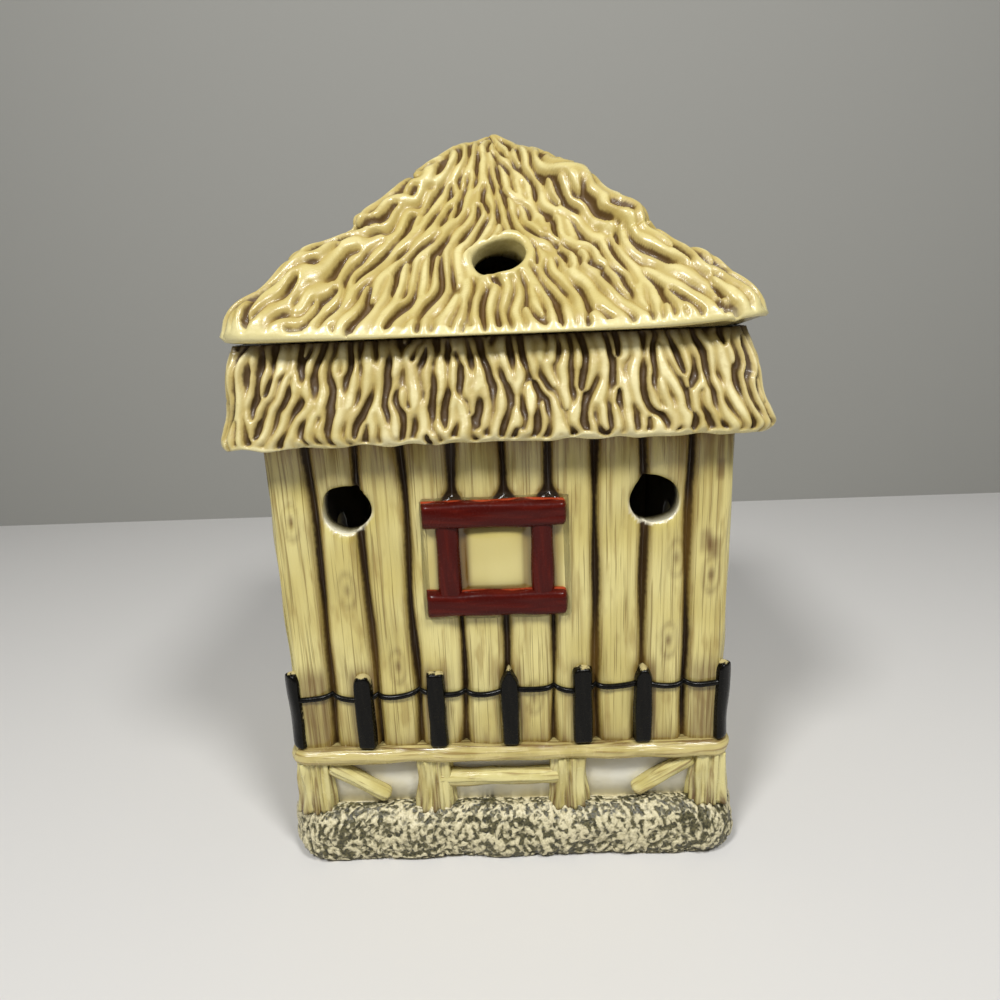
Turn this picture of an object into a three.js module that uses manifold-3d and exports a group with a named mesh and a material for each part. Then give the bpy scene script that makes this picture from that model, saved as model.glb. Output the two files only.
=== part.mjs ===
// A candle wax warmer cast as a thatched hut, in millimetres with +Z up.
// The window looks along -Y, and the origin is the middle of the underside.
import * as THREE from "three";
import { mergeVertices } from "three/addons/utils/BufferGeometryUtils.js";
import Module from "manifold-3d";

const wasm = await Module();
wasm.setup();

// Plank walls
const wallWidth = 113;
const wallDepth = 92;
const wallHeight = 82.6;
const wallThickness = 6;
const wallCorner = 3;
const frontPlanks = 10;
const sidePlanks = 8;
const plankGroove = 1.9;
const plankShoulder = 0.18;
const plankDrift = 0.8;
const widestPlank = 3.5;
const planksPerDrift = 8;

// Thatch skirt that flares out under the roof
const skirtHeight = 22.9;
const skirtTopOverhang = 0.75;
const skirtBottomOverhang = 8.5;
const skirtCorner = 7;
const skirtLipInset = 1.4;
const skirtLipHeight = 2.1;
const skirtStrandsFront = 36;
const skirtStrandsSide = 28;
const skirtBands = 3;
const skirtGroove = 1.6;
const skirtMeander = 0.5;

// Rocky base, stilt storey and deck
const baseHeight = 15;
const baseOverhang = 5.4;
const baseCorner = 11;
const baseLumps = 0.8;
const baseFootTuck = 2.2;
const baseTopTuck = 4.5;
const footTuckPower = 12;
const topTuckPower = 6;
const baseBands = 4;
const stonesFront = 12;
const stonesSide = 10;
const stiltHeight = 13.5;
const stiltWallInset = 2.5;
const deckThickness = 4.5;
const deckEdge = 1.3;
const deckOverhang = 2.6;
const deckCorner = 6;
const postWidth = 10;
const postInset = 1.2;
const postCorner = 1.5;
const postSpread = 0.9;
const postRibs = 2;
const columnsPerRib = 2;
const postGroove = 0.7;
const leftPostShare = -0.36;
const rightPostShare = 0.275;
const braceThickness = 4.4;
const braceReach = 15;
const beamThickness = 4.8;
const beamHeight = 22.6;

// Inside of the hut
const sillHeight = 3;
const floorThickness = 5.5;
const ledgeWidth = 5;
const ledgeHeight = 5;
const ledgeDepth = 10.5;
const innerCorner = 6;

// Vents and the candle door
const ventDiameter = 12;
const ventSpacing = 74.6;
const ventHeight = 98.7;
const sideVentHeight = 79;
const doorWidth = 50;
const doorHeight = 54;

// Roof lid
const roofOverhang = 6.1;
const roofRise = 48.5;
const roofCorner = 9;
const roofRim = 2.2;
const roofRimEdge = 0.7;
const roofCornerLift = 2.6;
const eaveLiftPower = 4;
const roofThickness = 5.8;
const roofStrandsFront = 38;
const roofStrandsSide = 30;
const roofBands = 9;
const roofGroove = 1.5;
const roofMeander = 1.1;
const firstFork = 0.3;
const secondFork = 0.6;
const hipRoll = 2.2;
const hipRollWidth = 6;
const hipRollEnd = 0.54;
const hipShoulder = 2.6;
const hipShoulderWidth = 9;
const roofVentDiameter = 12.3;
const roofVentDrop = 33;
const roofVentAside = 1.5;
const lipDepth = 5;
const lipThickness = 3.4;
const hollowStep = 4.4;

// Window
const windowMiddle = -1.5;
const windowSill = 70.2;
const frameHeight = 30.1;
const frameWidth = 35.2;
const frameBoard = 7;
const frameStile = 5.7;
const frameStileSpacing = 23.1;
const frameBoardThickness = 2.2;
const frameStileThickness = 1.5;
const frameBoardEdge = 0.5;
const frameBoardCorner = 0.8;
const paneWidth = 14.6;
const paneSwell = 0.8;
const paneCorner = 1;
const panelMargin = 0.6;

// Picket fence
const picketWidth = 5.2;
const picketHeight = 22.7;
const picketThickness = 1.7;
const picketFootShare = 0.8;
const frontPickets = 5;
const sidePickets = 4;
const backPickets = 2;
const doorPicketGap = 0.5;
const wireShare = 0.68;
const wireThickness = 1.2;
const wireDepth = 1.1;
const wireSway = 0.35;

// Wax dish and its wax
const flangeThickness = 3;
const dishDepth = 22;
const dishWall = 3.2;
const dishDraft = 4.5;
const dishCorner = 9;
const dishEdge = 1.5;
const waxDepth = 11;

// Tealight
const cupDiameter = 38.6;
const cupHeight = 16;
const cupSheet = 0.5;
const cupRimRoll = 0.5;
const cupEdge = 1;
const paraffinDepth = 13;
const paraffinEdge = 1.4;
const paraffinDip = 0.6;
const sustainerDiameter = 14;
const sustainerSheet = 0.4;
const stemHeight = 6;
const stemDiameter = 3.2;
const stemFlare = 0.6;
const stemFlareHeight = 1.2;
const wickDiameter = 1.6;
const wickAbovePool = 9;

// Clearances
const seatGap = 0.3;
const slideGap = 0.6;
const appliedGap = 0.3;

// How finely round things are divided
const roundSteps = 28;
const tealightSteps = 24;
const logSteps = 8;
const columnsPerPlank = 4;
const columnsPerStone = 2;
const columnsPerStrand = 2;
const plainColumns = { front: 4, side: 4 };
const weldTolerance = 1e-4;

// How far solids that are joined reach into each other, and cutters past what they cut
const joinOverlap = 1;
const throughLength = 30;

// Radians by which the waves of uneven, handmade things move on from one of them to the next
const strandPhase = 1.9;
const furrowUneven = 0.25;
const swayUneven = 0.4;
const swayTurns = 4;
const stonePhase = 2.6;
const wirePhase = 0.9;
const sidePhase = 2.3;

// Levels worked out from the sizes above
const deckBottom = baseHeight + stiltHeight;
const deckTop = deckBottom + deckThickness;
const skirtBottom = deckTop + wallHeight;
const mouthLevel = skirtBottom + skirtHeight;
const floorLevel = deckTop + sillHeight;
const ledgeLevel = mouthLevel - ledgeDepth;
const lidBottom = mouthLevel + seatGap;
const roofEave = lidBottom + roofRim + seatGap;
const roofApex = roofEave + roofRise;
const wireLevel = deckTop + wireShare * picketHeight;

// Half sizes worked out from the sizes above
const wallPlan = plan(wallWidth / 2, wallDepth / 2, wallCorner);
const innerPlan = grown(wallPlan, -wallThickness, innerCorner);
const throatPlan = grown(innerPlan, -ledgeWidth, innerCorner);
const roofPlan = grown(wallPlan, roofOverhang, roofCorner);

const ceramic = { roughness: 0.18, metalness: 0 };
const thatchGlaze = new THREE.MeshStandardMaterial({ color: 0xdccb8a, ...ceramic });
const wallGlaze = new THREE.MeshStandardMaterial({ color: 0xd3c48a, ...ceramic });
const redEnamel = new THREE.MeshStandardMaterial({ color: 0x561d18, ...ceramic });
const blackEnamel = new THREE.MeshStandardMaterial({ color: 0x1f1b18, ...ceramic });
const dishGlaze = new THREE.MeshStandardMaterial({ color: 0xebe3c8, ...ceramic });
const scentedWax = new THREE.MeshStandardMaterial({ color: 0xe9c98b, roughness: 0.45, metalness: 0 });
const paraffin = new THREE.MeshStandardMaterial({ color: 0xf4f0e4, roughness: 0.4, metalness: 0 });
const aluminium = new THREE.MeshStandardMaterial({ color: 0xc9cbcd, roughness: 0.3, metalness: 1 });
const tin = new THREE.MeshStandardMaterial({ color: 0xb4b6b8, roughness: 0.35, metalness: 1 });
const cotton = new THREE.MeshStandardMaterial({ color: 0xe6dfce, roughness: 0.9, metalness: 0 });

// A rectangle with round corners, as its half sizes and corner radius.
function plan(halfX, halfY, corner) {
  return { halfX, halfY, corner };
}

// The same rectangle grown on every side.
function grown(base, by, corner = base.corner) {
  return plan(base.halfX + by, base.halfY + by, corner);
}

// One point on the edge of a plan. Side 0 faces -Y, the others follow anticlockwise, and along goes from
// -1 to 1.
function edgePoint(shape, side, along, push, height) {
  const lengthwise = side % 2 === 0;
  const halfLong = lengthwise ? shape.halfX : shape.halfY;
  const halfDeep = lengthwise ? shape.halfY : shape.halfX;
  const straight = halfLong - shape.corner;
  const reach = Math.abs(along) * halfLong;
  const turn = (Math.max(reach - straight, 0) / shape.corner) * (Math.PI / 4);
  const radius = shape.corner + push;
  const across = Math.sign(along) * (Math.min(reach, straight) + radius * Math.sin(turn));
  const out = halfDeep - shape.corner + radius * Math.cos(turn);
  const heading = (side * Math.PI) / 2;
  const x = across * Math.cos(heading) + out * Math.sin(heading);
  const y = across * Math.sin(heading) - out * Math.cos(heading);
  return new THREE.Vector3(x, y, height);
}

// A closed loop of points round a plan. form(side, along, index) gives what each point is pushed out and
// lifted.
function ring(shape, columns, height, form = plain) {
  const points = [];
  for (let side = 0; side < 4; side += 1) {
    const count = side % 2 === 0 ? columns.front : columns.side;
    for (let index = 0; index < count; index += 1) {
      const along = (2 * index) / count - 1;
      const { push = 0, lift = 0, slip = 0 } = form(side, along, index);
      points.push(edgePoint(shape, side, along + slip, push, height + lift));
    }
  }
  return points;
}

function plain() {
  return {};
}

// A loop with only the points that its four round corners need.
function softRing(shape, height) {
  const points = [];
  for (let side = 0; side < 4; side += 1) {
    const halfLong = side % 2 === 0 ? shape.halfX : shape.halfY;
    const straight = 1 - shape.corner / halfLong;
    const between = (1 + straight) / 2;
    for (const along of [-1, -between, -straight, straight, between]) {
      points.push(edgePoint(shape, side, along, 0, height));
    }
  }
  return points;
}

function middleOf(points) {
  const sum = new THREE.Vector3();
  points.forEach((point) => sum.add(point));
  return sum.divideScalar(points.length);
}

// Triangles between two closed loops of points, given by their first index and their count.
function loopBand(low, lowCount, high, highCount) {
  const faces = [];
  let lowStep = 0;
  let highStep = 0;
  while (lowStep < lowCount || highStep < highCount) {
    const lowPoint = low + (lowStep % lowCount);
    const highPoint = high + (highStep % highCount);
    if ((lowStep + 1) * highCount <= (highStep + 1) * lowCount) {
      faces.push(lowPoint, low + ((lowStep + 1) % lowCount), highPoint);
      lowStep += 1;
    } else {
      faces.push(lowPoint, high + ((highStep + 1) % highCount), highPoint);
      highStep += 1;
    }
  }
  return faces;
}

// A closed skin over loops, from the lowest to the highest, with a fan over each end.
function loft(rings, top = middleOf(rings.at(-1))) {
  const points = [...rings.flat(), middleOf(rings[0]), top];
  const bottomFan = points.length - 2;
  const topFan = points.length - 1;
  const faces = [];
  let start = 0;
  for (let level = 0; level + 1 < rings.length; level += 1) {
    const count = rings[level].length;
    faces.push(...loopBand(start, count, start + count, rings[level + 1].length));
    start += count;
  }
  rings[0].forEach((point, column) => faces.push(bottomFan, (column + 1) % rings[0].length, column));
  const last = rings.at(-1).length;
  for (let column = 0; column < last; column += 1) {
    faces.push(topFan, start + column, start + ((column + 1) % last));
  }
  const geometry = new THREE.BufferGeometry().setFromPoints(points);
  geometry.setIndex(faces);
  return solidOf(geometry);
}

// A geometry as a solid that can be joined and cut.
function solidOf(geometry) {
  const bare = new THREE.BufferGeometry();
  bare.setAttribute("position", geometry.getAttribute("position"));
  bare.setIndex(geometry.index);
  const merged = mergeVertices(bare, weldTolerance);
  const corners = Array.from(merged.index.array);
  const triangles = [];
  for (let i = 0; i < corners.length; i += 3) {
    const [a, b, c] = corners.slice(i, i + 3);
    if (a !== b && b !== c && c !== a) {
      triangles.push(a, b, c);
    }
  }
  const mesh = new wasm.Mesh({
    numProp: 3,
    vertProperties: merged.getAttribute("position").array,
    triVerts: new Uint32Array(triangles),
  });
  return new wasm.Manifold(mesh);
}

// A solid as a named mesh.
function meshOf(name, solid, material) {
  const made = solid.getMesh();
  const geometry = new THREE.BufferGeometry();
  geometry.setAttribute("position", new THREE.BufferAttribute(made.vertProperties, 3));
  geometry.setIndex(new THREE.BufferAttribute(made.triVerts, 1));
  geometry.computeVertexNormals();
  const mesh = new THREE.Mesh(geometry, material);
  mesh.name = name;
  return mesh;
}

function joined(solids) {
  return solids.reduce((whole, solid) => whole.add(solid));
}

function box(sizeX, sizeY, sizeZ, x, y, z) {
  return solidOf(new THREE.BoxGeometry(sizeX, sizeY, sizeZ).translate(x, y, z));
}

// A round bar between two points.
function bar(from, to, radius, steps) {
  const along = new THREE.Vector3().subVectors(to, from);
  const geometry = new THREE.CylinderGeometry(radius, radius, along.length(), steps);
  const turn = new THREE.Quaternion().setFromUnitVectors(new THREE.Vector3(0, 1, 0), along.clone().normalize());
  geometry.applyQuaternion(turn);
  geometry.translate(...new THREE.Vector3().addVectors(from, to).divideScalar(2).toArray());
  return solidOf(geometry);
}

// Where the groove after a plank lies, as a share of the wall from -1 to 1. The planks aren't equally wide.
function plankEdge(index, count, halfLong) {
  if (index === 0 || index === count) {
    return (2 * index) / count - 1;
  }
  const drift = plankDrift * Math.sin((Math.PI * (index - widestPlank)) / planksPerDrift);
  return (2 * index) / count - 1 + drift / halfLong;
}

// How far the wall lies behind its crest line: each plank has a groove, a shoulder, a crest and a shoulder.
function plankForm(side, along, index) {
  const count = side % 2 === 0 ? frontPlanks : sidePlanks;
  const halfLong = side % 2 === 0 ? wallPlan.halfX : wallPlan.halfY;
  const plank = Math.floor(index / columnsPerPlank);
  const share = [0, plankShoulder, 0.5, 1 - plankShoulder][index % columnsPerPlank];
  const from = plankEdge(plank, count, halfLong);
  const to = plankEdge(plank + 1, count, halfLong);
  const atCorner = (plank === 0 && share < 0.5) || (plank === count - 1 && share > 0.5);
  const bow = Math.abs(2 * share - 1);
  return { push: atCorner ? 0 : -plankGroove * bow ** 3, slip: from + (to - from) * share - along };
}

const wallColumns = { front: frontPlanks * columnsPerPlank, side: sidePlanks * columnsPerPlank };

function plankWalls() {
  const bottom = ring(wallPlan, wallColumns, deckTop - joinOverlap, plankForm);
  const top = ring(wallPlan, wallColumns, skirtBottom + joinOverlap, plankForm);
  return loft([bottom, top]);
}

// How many points a loop has along the front and along the sides, with so many to each strand or stone.
function columnsOf(front, side, each) {
  return { front: front * each, side: side * each };
}

// Strands of thatch as ridges and furrows: even columns are crests and odd ones furrows. The meander pushes
// them sideways in millimetres, and no strand leaves its side.
function strandForm(shape, depth, meander) {
  return (side, along, index) => {
    const halfLong = side % 2 === 0 ? shape.halfX : shape.halfY;
    const phase = Math.sin(index * strandPhase + side * sidePhase);
    const furrow = index % columnsPerStrand === 1 ? depth * (1 - furrowUneven * (1 - phase)) : 0;
    const uneven = 1 + swayUneven * Math.sin(swayTurns * along + side);
    const sway = (meander * (1 - along * along) * uneven) / halfLong;
    return { push: -furrow, slip: sway };
  };
}

function thatchSkirt() {
  const full = columnsOf(skirtStrandsFront, skirtStrandsSide, columnsPerStrand);
  const plainEdge = columnsOf(skirtStrandsFront, skirtStrandsSide, 1);
  const widest = grown(wallPlan, skirtBottomOverhang, skirtCorner);
  const rings = [ring(grown(widest, -skirtLipInset), plainEdge, skirtBottom)];
  for (let band = 0; band < skirtBands; band += 1) {
    const share = band / skirtBands;
    const shape = grown(widest, share * (skirtTopOverhang - skirtBottomOverhang));
    const height = skirtBottom + skirtLipHeight + share * (skirtHeight - skirtLipHeight);
    const meander = band % 2 === 0 ? skirtMeander : -skirtMeander;
    rings.push(ring(shape, full, height, strandForm(shape, skirtGroove, meander)));
  }
  rings.push(ring(grown(wallPlan, skirtTopOverhang, skirtCorner), plainEdge, mouthLevel));
  return loft(rings);
}

// Smooth lumps that never undercut, in courses of stones that lie half a stone apart.
function rockForm(amount, course) {
  return (side, along, index) => {
    const crest = (index + course) % columnsPerStone === 0 ? 1 : -1;
    const uneven = Math.sin(index * stonePhase + side * sidePhase + course);
    return { push: (amount * (crest + uneven)) / 2 };
  };
}

// The rocky bank: it curves in a little at its foot and more towards its top.
function rockyBase() {
  const columns = columnsOf(stonesFront, stonesSide, columnsPerStone);
  const rings = [];
  for (let band = 0; band <= baseBands; band += 1) {
    const up = (1 - Math.cos((Math.PI * band) / baseBands)) / 2;
    const tuck = baseFootTuck * (1 - up) ** footTuckPower + baseTopTuck * up ** topTuckPower;
    const lumps = baseLumps * Math.sin((Math.PI * (band + 1)) / (baseBands + 2));
    const shape = grown(wallPlan, baseOverhang - baseLumps - tuck, baseCorner);
    rings.push(ring(shape, columns, up * baseHeight, rockForm(lumps, band)));
  }
  return loft(rings);
}

function deckRail() {
  const full = grown(wallPlan, deckOverhang, deckCorner);
  const edge = grown(full, -deckEdge);
  const rings = [
    softRing(edge, deckBottom),
    softRing(full, deckBottom + deckEdge),
    softRing(full, deckTop - deckEdge),
    softRing(edge, deckTop),
  ];
  return loft(rings);
}

function stiltWall() {
  const shape = grown(wallPlan, -stiltWallInset, wallCorner);
  return loft([softRing(shape, baseHeight - joinOverlap), softRing(shape, deckBottom + joinOverlap)]);
}

// One stilt: a squared log with ribs, which spreads towards its foot.
function post(x, y) {
  const columns = columnsOf(postRibs, postRibs, columnsPerRib);
  const ribs = (side, along, index) => ({ push: index % columnsPerRib === 1 ? 0 : -postGroove });
  const head = plan(postWidth / 2, postWidth / 2, postCorner);
  const foot = grown(head, postSpread);
  const low = ring(foot, columns, baseHeight - joinOverlap, ribs);
  const high = ring(head, columns, deckBottom + joinOverlap, ribs);
  return loft([low, high]).translate([x, y, 0]);
}

const postReachX = wallPlan.halfX + deckOverhang - postInset;
const postReachY = wallPlan.halfY + deckOverhang - postInset;
const frontPostPlaces = [leftPostShare, rightPostShare];

function posts() {
  const solids = [];
  const halfPost = postWidth / 2;
  for (const signX of [-1, 1]) {
    for (const signY of [-1, 1]) {
      solids.push(post(signX * (postReachX - halfPost), signY * (postReachY - halfPost)));
    }
    solids.push(post(signX * (postReachX - halfPost), 0));
  }
  for (const signY of [-1, 1]) {
    frontPostPlaces.forEach((place) => {
      const x = -signY * place * wallPlan.halfX;
      solids.push(post(x, signY * (postReachY - halfPost)));
    });
  }
  return solids;
}

// Diagonal logs from each corner post down to the rock, and a level log between the middle posts.
function bracesAndBeams() {
  const solids = [];
  const radius = braceThickness / 2;
  const lineX = wallPlan.halfX - radius / 2;
  const lineY = wallPlan.halfY - radius / 2;
  const high = deckBottom - radius / 2;
  const low = baseHeight + radius / 2;
  const startX = postReachX - postWidth;
  const startY = postReachY - postWidth;
  for (const sign of [-1, 1]) {
    for (const other of [-1, 1]) {
      const top = new THREE.Vector3(sign * startX, other * lineY, high);
      const foot = new THREE.Vector3(sign * (startX - braceReach), other * lineY, low);
      solids.push(bar(top, foot, radius, logSteps));
      const sideTop = new THREE.Vector3(sign * lineX, other * startY, high);
      const sideFoot = new THREE.Vector3(sign * lineX, other * (startY - braceReach), low);
      solids.push(bar(sideTop, sideFoot, radius, logSteps));
    }
    const ends = frontPostPlaces.map((place) => {
      return new THREE.Vector3(-sign * place * wallPlan.halfX, sign * lineY, beamHeight);
    });
    solids.push(bar(ends[0], ends[1], beamThickness / 2, logSteps));
  }
  return solids;
}

const frameBack = wallPlan.halfY + appliedGap;
// The flat panel behind the window frame, with the swelling pane in its middle.
function windowPanel() {
  const middleZ = windowSill + frameHeight / 2;
  const into = 2 * plankGroove;
  const panel = box(
    frameWidth + 2 * panelMargin,
    into,
    frameHeight + 2 * panelMargin,
    windowMiddle,
    -wallPlan.halfY + into / 2,
    middleZ,
  );
  const paneHeight = frameHeight - 2 * frameBoard - 2 * appliedGap;
  const foot = plan(paneWidth / 2, paneHeight / 2, paneCorner);
  const face = grown(foot, -2 * paneSwell);
  const pane = loft([softRing(foot, -into), softRing(foot, 0), softRing(face, paneSwell)]);
  return panel.add(pane.rotate([90, 0, 0]).translate([windowMiddle, -wallPlan.halfY, middleZ]));
}

// The open inside: a tall room, a throat through the dish ledge and the mouth above it.
function room() {
  const rings = [
    softRing(innerPlan, floorLevel),
    softRing(innerPlan, ledgeLevel - ledgeHeight - ledgeWidth),
    softRing(throatPlan, ledgeLevel - ledgeHeight),
    softRing(throatPlan, ledgeLevel + seatGap),
  ];
  const mouth = [softRing(innerPlan, ledgeLevel), softRing(innerPlan, mouthLevel + seatGap)];
  return loft(rings).add(loft(mouth));
}

// The hollow under the floor that leaves a foot ring to stand on.
function underside() {
  const shape = grown(wallPlan, -stiltWallInset - wallThickness, innerCorner);
  return loft([softRing(shape, -joinOverlap), softRing(shape, floorLevel - floorThickness)]);
}

// A bore through a wall, along a direction.
function bore(x, y, z, direction, diameter) {
  const reach = direction.clone().multiplyScalar(throughLength / 2);
  const centre = new THREE.Vector3(x, y, z);
  const from = new THREE.Vector3().subVectors(centre, reach);
  const to = new THREE.Vector3().addVectors(centre, reach);
  return bar(from, to, diameter / 2, roundSteps);
}

function vents() {
  const solids = [];
  for (const sign of [-1, 1]) {
    const front = new THREE.Vector3(0, 1, 0);
    solids.push(bore((sign * ventSpacing) / 2, -wallPlan.halfY, ventHeight, front, ventDiameter));
    solids.push(bore(sign * wallPlan.halfX, 0, sideVentHeight, new THREE.Vector3(1, 0, 0), ventDiameter));
  }
  return solids;
}

// The arched door in the back wall, level with the floor.
function candleDoor() {
  const half = doorWidth / 2;
  const outline = new THREE.Shape();
  outline.moveTo(-half, 0);
  outline.lineTo(half, 0);
  outline.lineTo(half, doorHeight - half);
  outline.absarc(0, doorHeight - half, half, 0, Math.PI, false);
  outline.lineTo(-half, 0);
  const geometry = new THREE.ExtrudeGeometry(outline, {
    depth: throughLength,
    bevelEnabled: false,
    curveSegments: roundSteps / 2,
  });
  geometry.rotateX(Math.PI / 2);
  geometry.translate(0, wallPlan.halfY + throughLength / 2, floorLevel);
  return solidOf(geometry);
}

function hutBody() {
  const outside = joined([
    rockyBase(),
    stiltWall(),
    ...posts(),
    ...bracesAndBeams(),
    deckRail(),
    plankWalls(),
    thatchSkirt(),
    windowPanel(),
  ]);
  const hollows = joined([room(), underside(), candleDoor(), ...vents()]);
  return outside.subtract(hollows);
}

// Thatch on the roof at one share of the way down, with the rolls on its hips and the lift of its corners.
function roofForm(shape, down, meander) {
  const strands = strandForm(shape, roofGroove, meander);
  return (side, along, index) => {
    const { push, slip } = strands(side, along, index);
    const halfLong = side % 2 === 0 ? shape.halfX : shape.halfY;
    const fromHip = (1 - Math.abs(along)) * halfLong;
    const roll = down < hipRollEnd ? hipRoll * Math.exp(-((fromHip / hipRollWidth) ** 2)) : 0;
    const below = Math.max((down - hipRollEnd) / (1 - hipRollEnd), 0);
    const bulge = Math.sqrt(Math.sin(Math.PI * below));
    const shoulder = hipShoulder * bulge * Math.exp(-((fromHip / hipShoulderWidth) ** 2));
    return { push: roll + push, lift: eaveLift(along) * down ** eaveLiftPower + shoulder, slip };
  };
}

function eaveLift(along) {
  return roofCornerLift * along * along;
}

function eaveForm(side, along) {
  return { lift: eaveLift(along) };
}

// The outside of the lid: a flat seat, the smooth rim and the thatch, whose strands fork twice on their way
// down.
function roofOutside() {
  const plainEdge = columnsOf(roofStrandsFront, roofStrandsSide, 1);
  const seatPlan = grown(wallPlan, skirtTopOverhang, roofCorner);
  const rings = [
    ring(seatPlan, plainEdge, lidBottom),
    ring(grown(roofPlan, -roofRimEdge), plainEdge, lidBottom + seatGap, eaveForm),
    ring(roofPlan, plainEdge, lidBottom + roofRimEdge, eaveForm),
  ];
  for (let band = 0; band < roofBands; band += 1) {
    const down = 1 - band / roofBands;
    const strandShare = down > secondFork ? 1 : down > firstFork ? 1 / 2 : 1 / 4;
    const columns = columnsOf(roofStrandsFront, roofStrandsSide, columnsPerStrand * strandShare);
    const shape = plan(roofPlan.halfX * down, roofPlan.halfY * down, roofCorner * down);
    const meander = band % 2 === 0 ? roofMeander : -roofMeander;
    rings.push(ring(shape, columns, roofEave + roofRise * (1 - down), roofForm(shape, down, meander)));
  }
  return loft(rings, new THREE.Vector3(0, 0, roofApex));
}

const lipPlan = grown(innerPlan, -slideGap);

// The lip that drops into the mouth and keeps the lid in place.
function lidLip() {
  return loft([softRing(lipPlan, lidBottom - lipDepth), softRing(lipPlan, lidBottom + joinOverlap)]);
}

// The hollow of the lid, parallel to its slopes.
function lidHollow() {
  const drop = roofThickness * Math.hypot(1, roofRise / roofPlan.halfY);
  const top = roofApex - drop;
  const shoulder = lidBottom + hollowStep;
  const slope = (top - shoulder) / roofRise;
  const wide = plan(roofPlan.halfX * slope, roofPlan.halfY * slope, innerCorner);
  const narrow = grown(lipPlan, -lipThickness);
  const rings = [
    softRing(narrow, lidBottom - lipDepth - joinOverlap),
    softRing(narrow, lidBottom),
    softRing(wide, shoulder),
  ];
  return loft(rings, new THREE.Vector3(0, 0, top));
}

function roofLid() {
  const normal = new THREE.Vector3(0, -roofRise, roofPlan.halfY).normalize();
  const down = roofVentDrop / roofRise;
  const vent = bore(roofVentAside, -roofPlan.halfY * down, roofApex - roofVentDrop, normal, roofVentDiameter);
  return roofOutside().add(lidLip()).subtract(lidHollow()).subtract(vent);
}

// A board of the window frame, with its edges taken off.
function board(width, height, thickness, x, z) {
  const half = plan(width / 2, height / 2, frameBoardCorner);
  const rings = [
    ring(half, plainColumns, 0),
    ring(half, plainColumns, thickness - frameBoardEdge),
    ring(grown(half, -frameBoardEdge, frameBoardCorner - frameBoardEdge), plainColumns, thickness),
  ];
  return loft(rings).rotate([90, 0, 0]).translate([x, -frameBack, z]);
}

function windowFrame() {
  const lowBoard = windowSill + frameBoard / 2;
  const highBoard = windowSill + frameHeight - frameBoard / 2;
  const middle = windowSill + frameHeight / 2;
  const stileLength = frameHeight - frameBoard;
  return joined([
    board(frameWidth, frameBoard, frameBoardThickness, windowMiddle, lowBoard),
    board(frameWidth, frameBoard, frameBoardThickness, windowMiddle, highBoard),
    board(frameStile, stileLength, frameStileThickness, windowMiddle - frameStileSpacing / 2, middle),
    board(frameStile, stileLength, frameStileThickness, windowMiddle + frameStileSpacing / 2, middle),
  ]);
}

// One picket: a flat slat with a blunt point, standing on the deck with its back to the plane y = 0.
function picket() {
  const half = picketWidth / 2;
  const foot = half * picketFootShare;
  const shoulder = picketHeight - half;
  const outline = new THREE.Shape();
  outline.moveTo(-foot, 0);
  outline.lineTo(foot, 0);
  outline.lineTo(half, shoulder);
  outline.quadraticCurveTo(foot, picketHeight, 0, picketHeight);
  outline.quadraticCurveTo(-foot, picketHeight, -half, shoulder);
  outline.lineTo(-foot, 0);
  const geometry = new THREE.ExtrudeGeometry(outline, {
    depth: picketThickness,
    bevelEnabled: false,
    curveSegments: 2,
  });
  return solidOf(geometry.rotateX(Math.PI / 2));
}

// A picket on one side of the hut, at a distance from the middle of that side.
function placedPicket(side, across) {
  const out = (side % 2 === 0 ? wallPlan.halfY : wallPlan.halfX) + appliedGap;
  return picket()
    .translate([across, -out, deckTop + seatGap])
    .rotate([0, 0, 90 * side]);
}

// A picket turned across a corner of the hut.
function cornerPicket(corner) {
  const point = edgePoint(wallPlan, 0, 1, appliedGap, 0);
  const out = Math.hypot(point.x, point.y);
  const heading = Math.atan2(point.y, point.x);
  const across = out * Math.sin(-Math.PI / 4 - heading);
  const away = out * Math.cos(-Math.PI / 4 - heading);
  const mirrored = corner % 2 === 0 ? -across : across;
  return picket()
    .translate([mirrored, -away, deckTop + seatGap])
    .rotate([0, 0, 45 + 90 * corner]);
}

const doorPicket = doorWidth / 2 + picketWidth + doorPicketGap;

// The wire: a flat band that follows the planks from one side of the door round to the other.
function fenceWire() {
  const reach = (doorPicket - picketWidth / 2) / wallPlan.halfX;
  const path = [];
  [2, 3, 0, 1, 2].forEach((side, leg) => {
    const count = side % 2 === 0 ? wallColumns.front : wallColumns.side;
    for (let index = 0; index < count; index += 1) {
      const along = (2 * index) / count - 1;
      const { push, slip } = plankForm(side, along, index);
      const place = along + slip;
      const pastDoor = leg === 0 ? place > reach : place < -reach;
      if (side !== 2 || pastDoor) {
        path.push({ side, place, push });
      }
    }
  });
  return band(path);
}

// A band of rectangular section along places on the wall, closed at both ends.
function band(path) {
  const sections = path.map(({ side, place, push }, index) => {
    const sway = wireSway * Math.sin(index * wirePhase);
    const near = push + appliedGap;
    const far = near + wireDepth;
    const low = wireLevel + sway - wireThickness / 2;
    const high = wireLevel + sway + wireThickness / 2;
    return [
      edgePoint(wallPlan, side, place, near, low),
      edgePoint(wallPlan, side, place, far, low),
      edgePoint(wallPlan, side, place, far, high),
      edgePoint(wallPlan, side, place, near, high),
    ];
  });
  const points = sections.flat();
  const corners = sections[0].length;
  const faces = [];
  for (let section = 0; section + 1 < sections.length; section += 1) {
    for (let corner = 0; corner < corners; corner += 1) {
      const a = section * corners + corner;
      const b = section * corners + ((corner + 1) % corners);
      faces.push(a, a + corners, b + corners, a, b + corners, b);
    }
  }
  const last = points.length - corners;
  faces.push(0, 1, 2, 0, 2, 3);
  faces.push(last, last + 2, last + 1, last, last + 3, last + 2);
  const geometry = new THREE.BufferGeometry().setFromPoints(points);
  geometry.setIndex(faces);
  return solidOf(geometry);
}

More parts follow.
